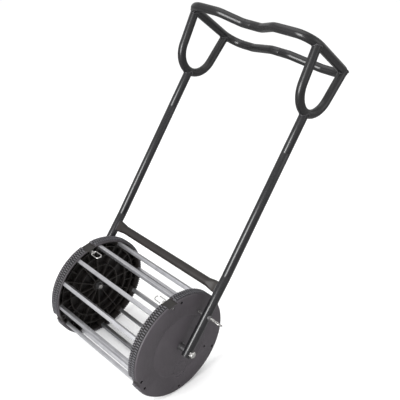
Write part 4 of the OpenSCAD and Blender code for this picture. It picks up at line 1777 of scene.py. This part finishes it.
def dress_nodes(nodes: dict[str, bpy.types.Object], finishes: Finishes) -> None:
    """Gives finishes to the CAD nodes that stay.

    Args:
        nodes: The frame's nodes.
        finishes: The set of materials.
    """
    by_word = {"bush": finishes.nylon, "spring": finishes.spring, "guides": finishes.dull_zinc,
               "nuts": finishes.dull_zinc, "washers": finishes.dull_zinc,
               "spacers": finishes.dull_zinc,
               "spigots": finishes.steel, "tube_screws": finishes.black_screw}
    for name, node in nodes.items():
        for word, material in by_word.items():
            if word in name:
                node.data.materials.clear()
                node.data.materials.append(material)
                LOG.info("%s keeps its shape, with %s", name, material.name)


# ---------------------------------------------------------------- studio


@dataclass(frozen=True)
class Softbox:
    """A rectangular soft light."""

    name: str
    place: Point
    target: Point
    size: tuple[float, float]
    power: float
    tint: Point = (1.0, 1.0, 1.0)

    def hang(self) -> None:
        """Adds the light to the scene."""
        light = bpy.data.lights.new(self.name, "AREA")
        light.shape = "RECTANGLE"
        light.size, light.size_y = self.size
        light.energy = self.power
        light.color = self.tint
        obj = bpy.data.objects.new(self.name, light)
        obj.location = self.place
        aim = Vector(self.target) - Vector(self.place)
        obj.rotation_euler = aim.to_track_quat("-Z", "Y").to_euler()
        bpy.context.scene.collection.objects.link(obj)


@dataclass(frozen=True)
class Studio:
    """Pale floor, soft lights and the camera."""

    floor: float
    camera_at: Point = (1.1824, -0.9214, 1.2314)
    look: Point = (-0.6156, 0.6117, -0.4968)
    right: Point = (0.6965, 0.7173, 0.0201)
    lens: float = 59.18
    white: float = 0.97
    mirrored_white: float = 0.28
    sky: float = 1.0
    mirrored_sky: float = 0.62
    lights: tuple[Softbox, ...] = (
        Softbox("front_softbox", (0.1, -2.6, 1.1), (0, 0, 0.3), (1.3, 2.0), 100.0),
        Softbox("overhead_softbox", (-0.3, 0.2, 3.0), (0, 0.2, 0.2), (2.6, 2.6), 22.0),
        Softbox("side_softbox", (2.6, 1.2, 1.4), (0.2, 0.1, 0.2), (1.6, 2.0), 8.0),
    )

    def camera(self) -> None:
        """Adds the camera."""
        data = bpy.data.cameras.new("camera")
        data.lens = self.lens
        data.sensor_width = 36.0
        obj = bpy.data.objects.new("camera", data)
        look = Vector(self.look).normalized()
        right = Vector(self.right)
        right = (right - look * right.dot(look)).normalized()
        up = right.cross(look)
        turn = Matrix((right, up, -look)).transposed().to_4x4()
        obj.matrix_world = Matrix.Translation(self.camera_at) @ turn
        bpy.context.scene.collection.objects.link(obj)
        bpy.context.scene.camera = obj

    def ground(self) -> None:
        """Adds the pale floor, under the wheels' lowest point."""
        sh = Shader("pale_floor")
        sh.set(roughness=0.9, specular_ior_level=0.1)
        mirrored_ray = sh.tree.nodes.new("ShaderNodeLightPath").outputs["Is Glossy Ray"]
        sh.colour(sh.spread(mirrored_ray, self.white, self.mirrored_white, 0.0, 1.0))
        draft = Draft()
        half = 12.0
        draft.points = [Vector((x, y, self.floor)) for x, y in
                        ((-half, -half), (half, -half), (half, half), (-half, half))]
        draft.faces = [(0, 1, 2, 3)]
        draft.mesh("studio_floor", sh.material)

    def build(self) -> None:
        """Adds the floor, the lights, the sky and the camera."""
        self.ground()
        world = bpy.data.worlds.new("studio")
        world.use_nodes = True
        sky = world.node_tree.nodes["Background"]
        tree = world.node_tree
        ray = tree.nodes.new("ShaderNodeLightPath").outputs["Is Glossy Ray"]
        dimmer = tree.nodes.new("ShaderNodeMapRange")
        dimmer.inputs["To Min"].default_value = self.sky
        dimmer.inputs["To Max"].default_value = self.mirrored_sky
        tree.links.new(ray, dimmer.inputs["Value"])
        tree.links.new(dimmer.outputs["Result"], sky.inputs["Strength"])
        sky.inputs["Color"].default_value = (1.0, 1.0, 1.0, 1.0)
        bpy.context.scene.world = world
        bpy.context.scene.view_settings.view_transform = "Standard"
        for light in self.lights:
            light.hang()
        self.camera()


# ---------------------------------------------------------------- main


def main() -> None:
    """Builds the machine around the frame, in order."""
    logging.basicConfig(level=logging.INFO, format="%(name)s: %(message)s")
    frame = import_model()
    plan = Plan.from_frame()
    finishes = Finishes.make()
    Studio(plan.floor).build()
    around = RingOfPieces()
    dress_nodes(frame["nodes"], finishes)
    SideWheels(plan, finishes, around).build()
    Cage(plan, finishes, around).build()
    PullPins(plan, finishes).build()
    AxleBolts(plan, finishes).build()
    Handle(plan, finishes).build()


if __name__ == "__main__":
    main()
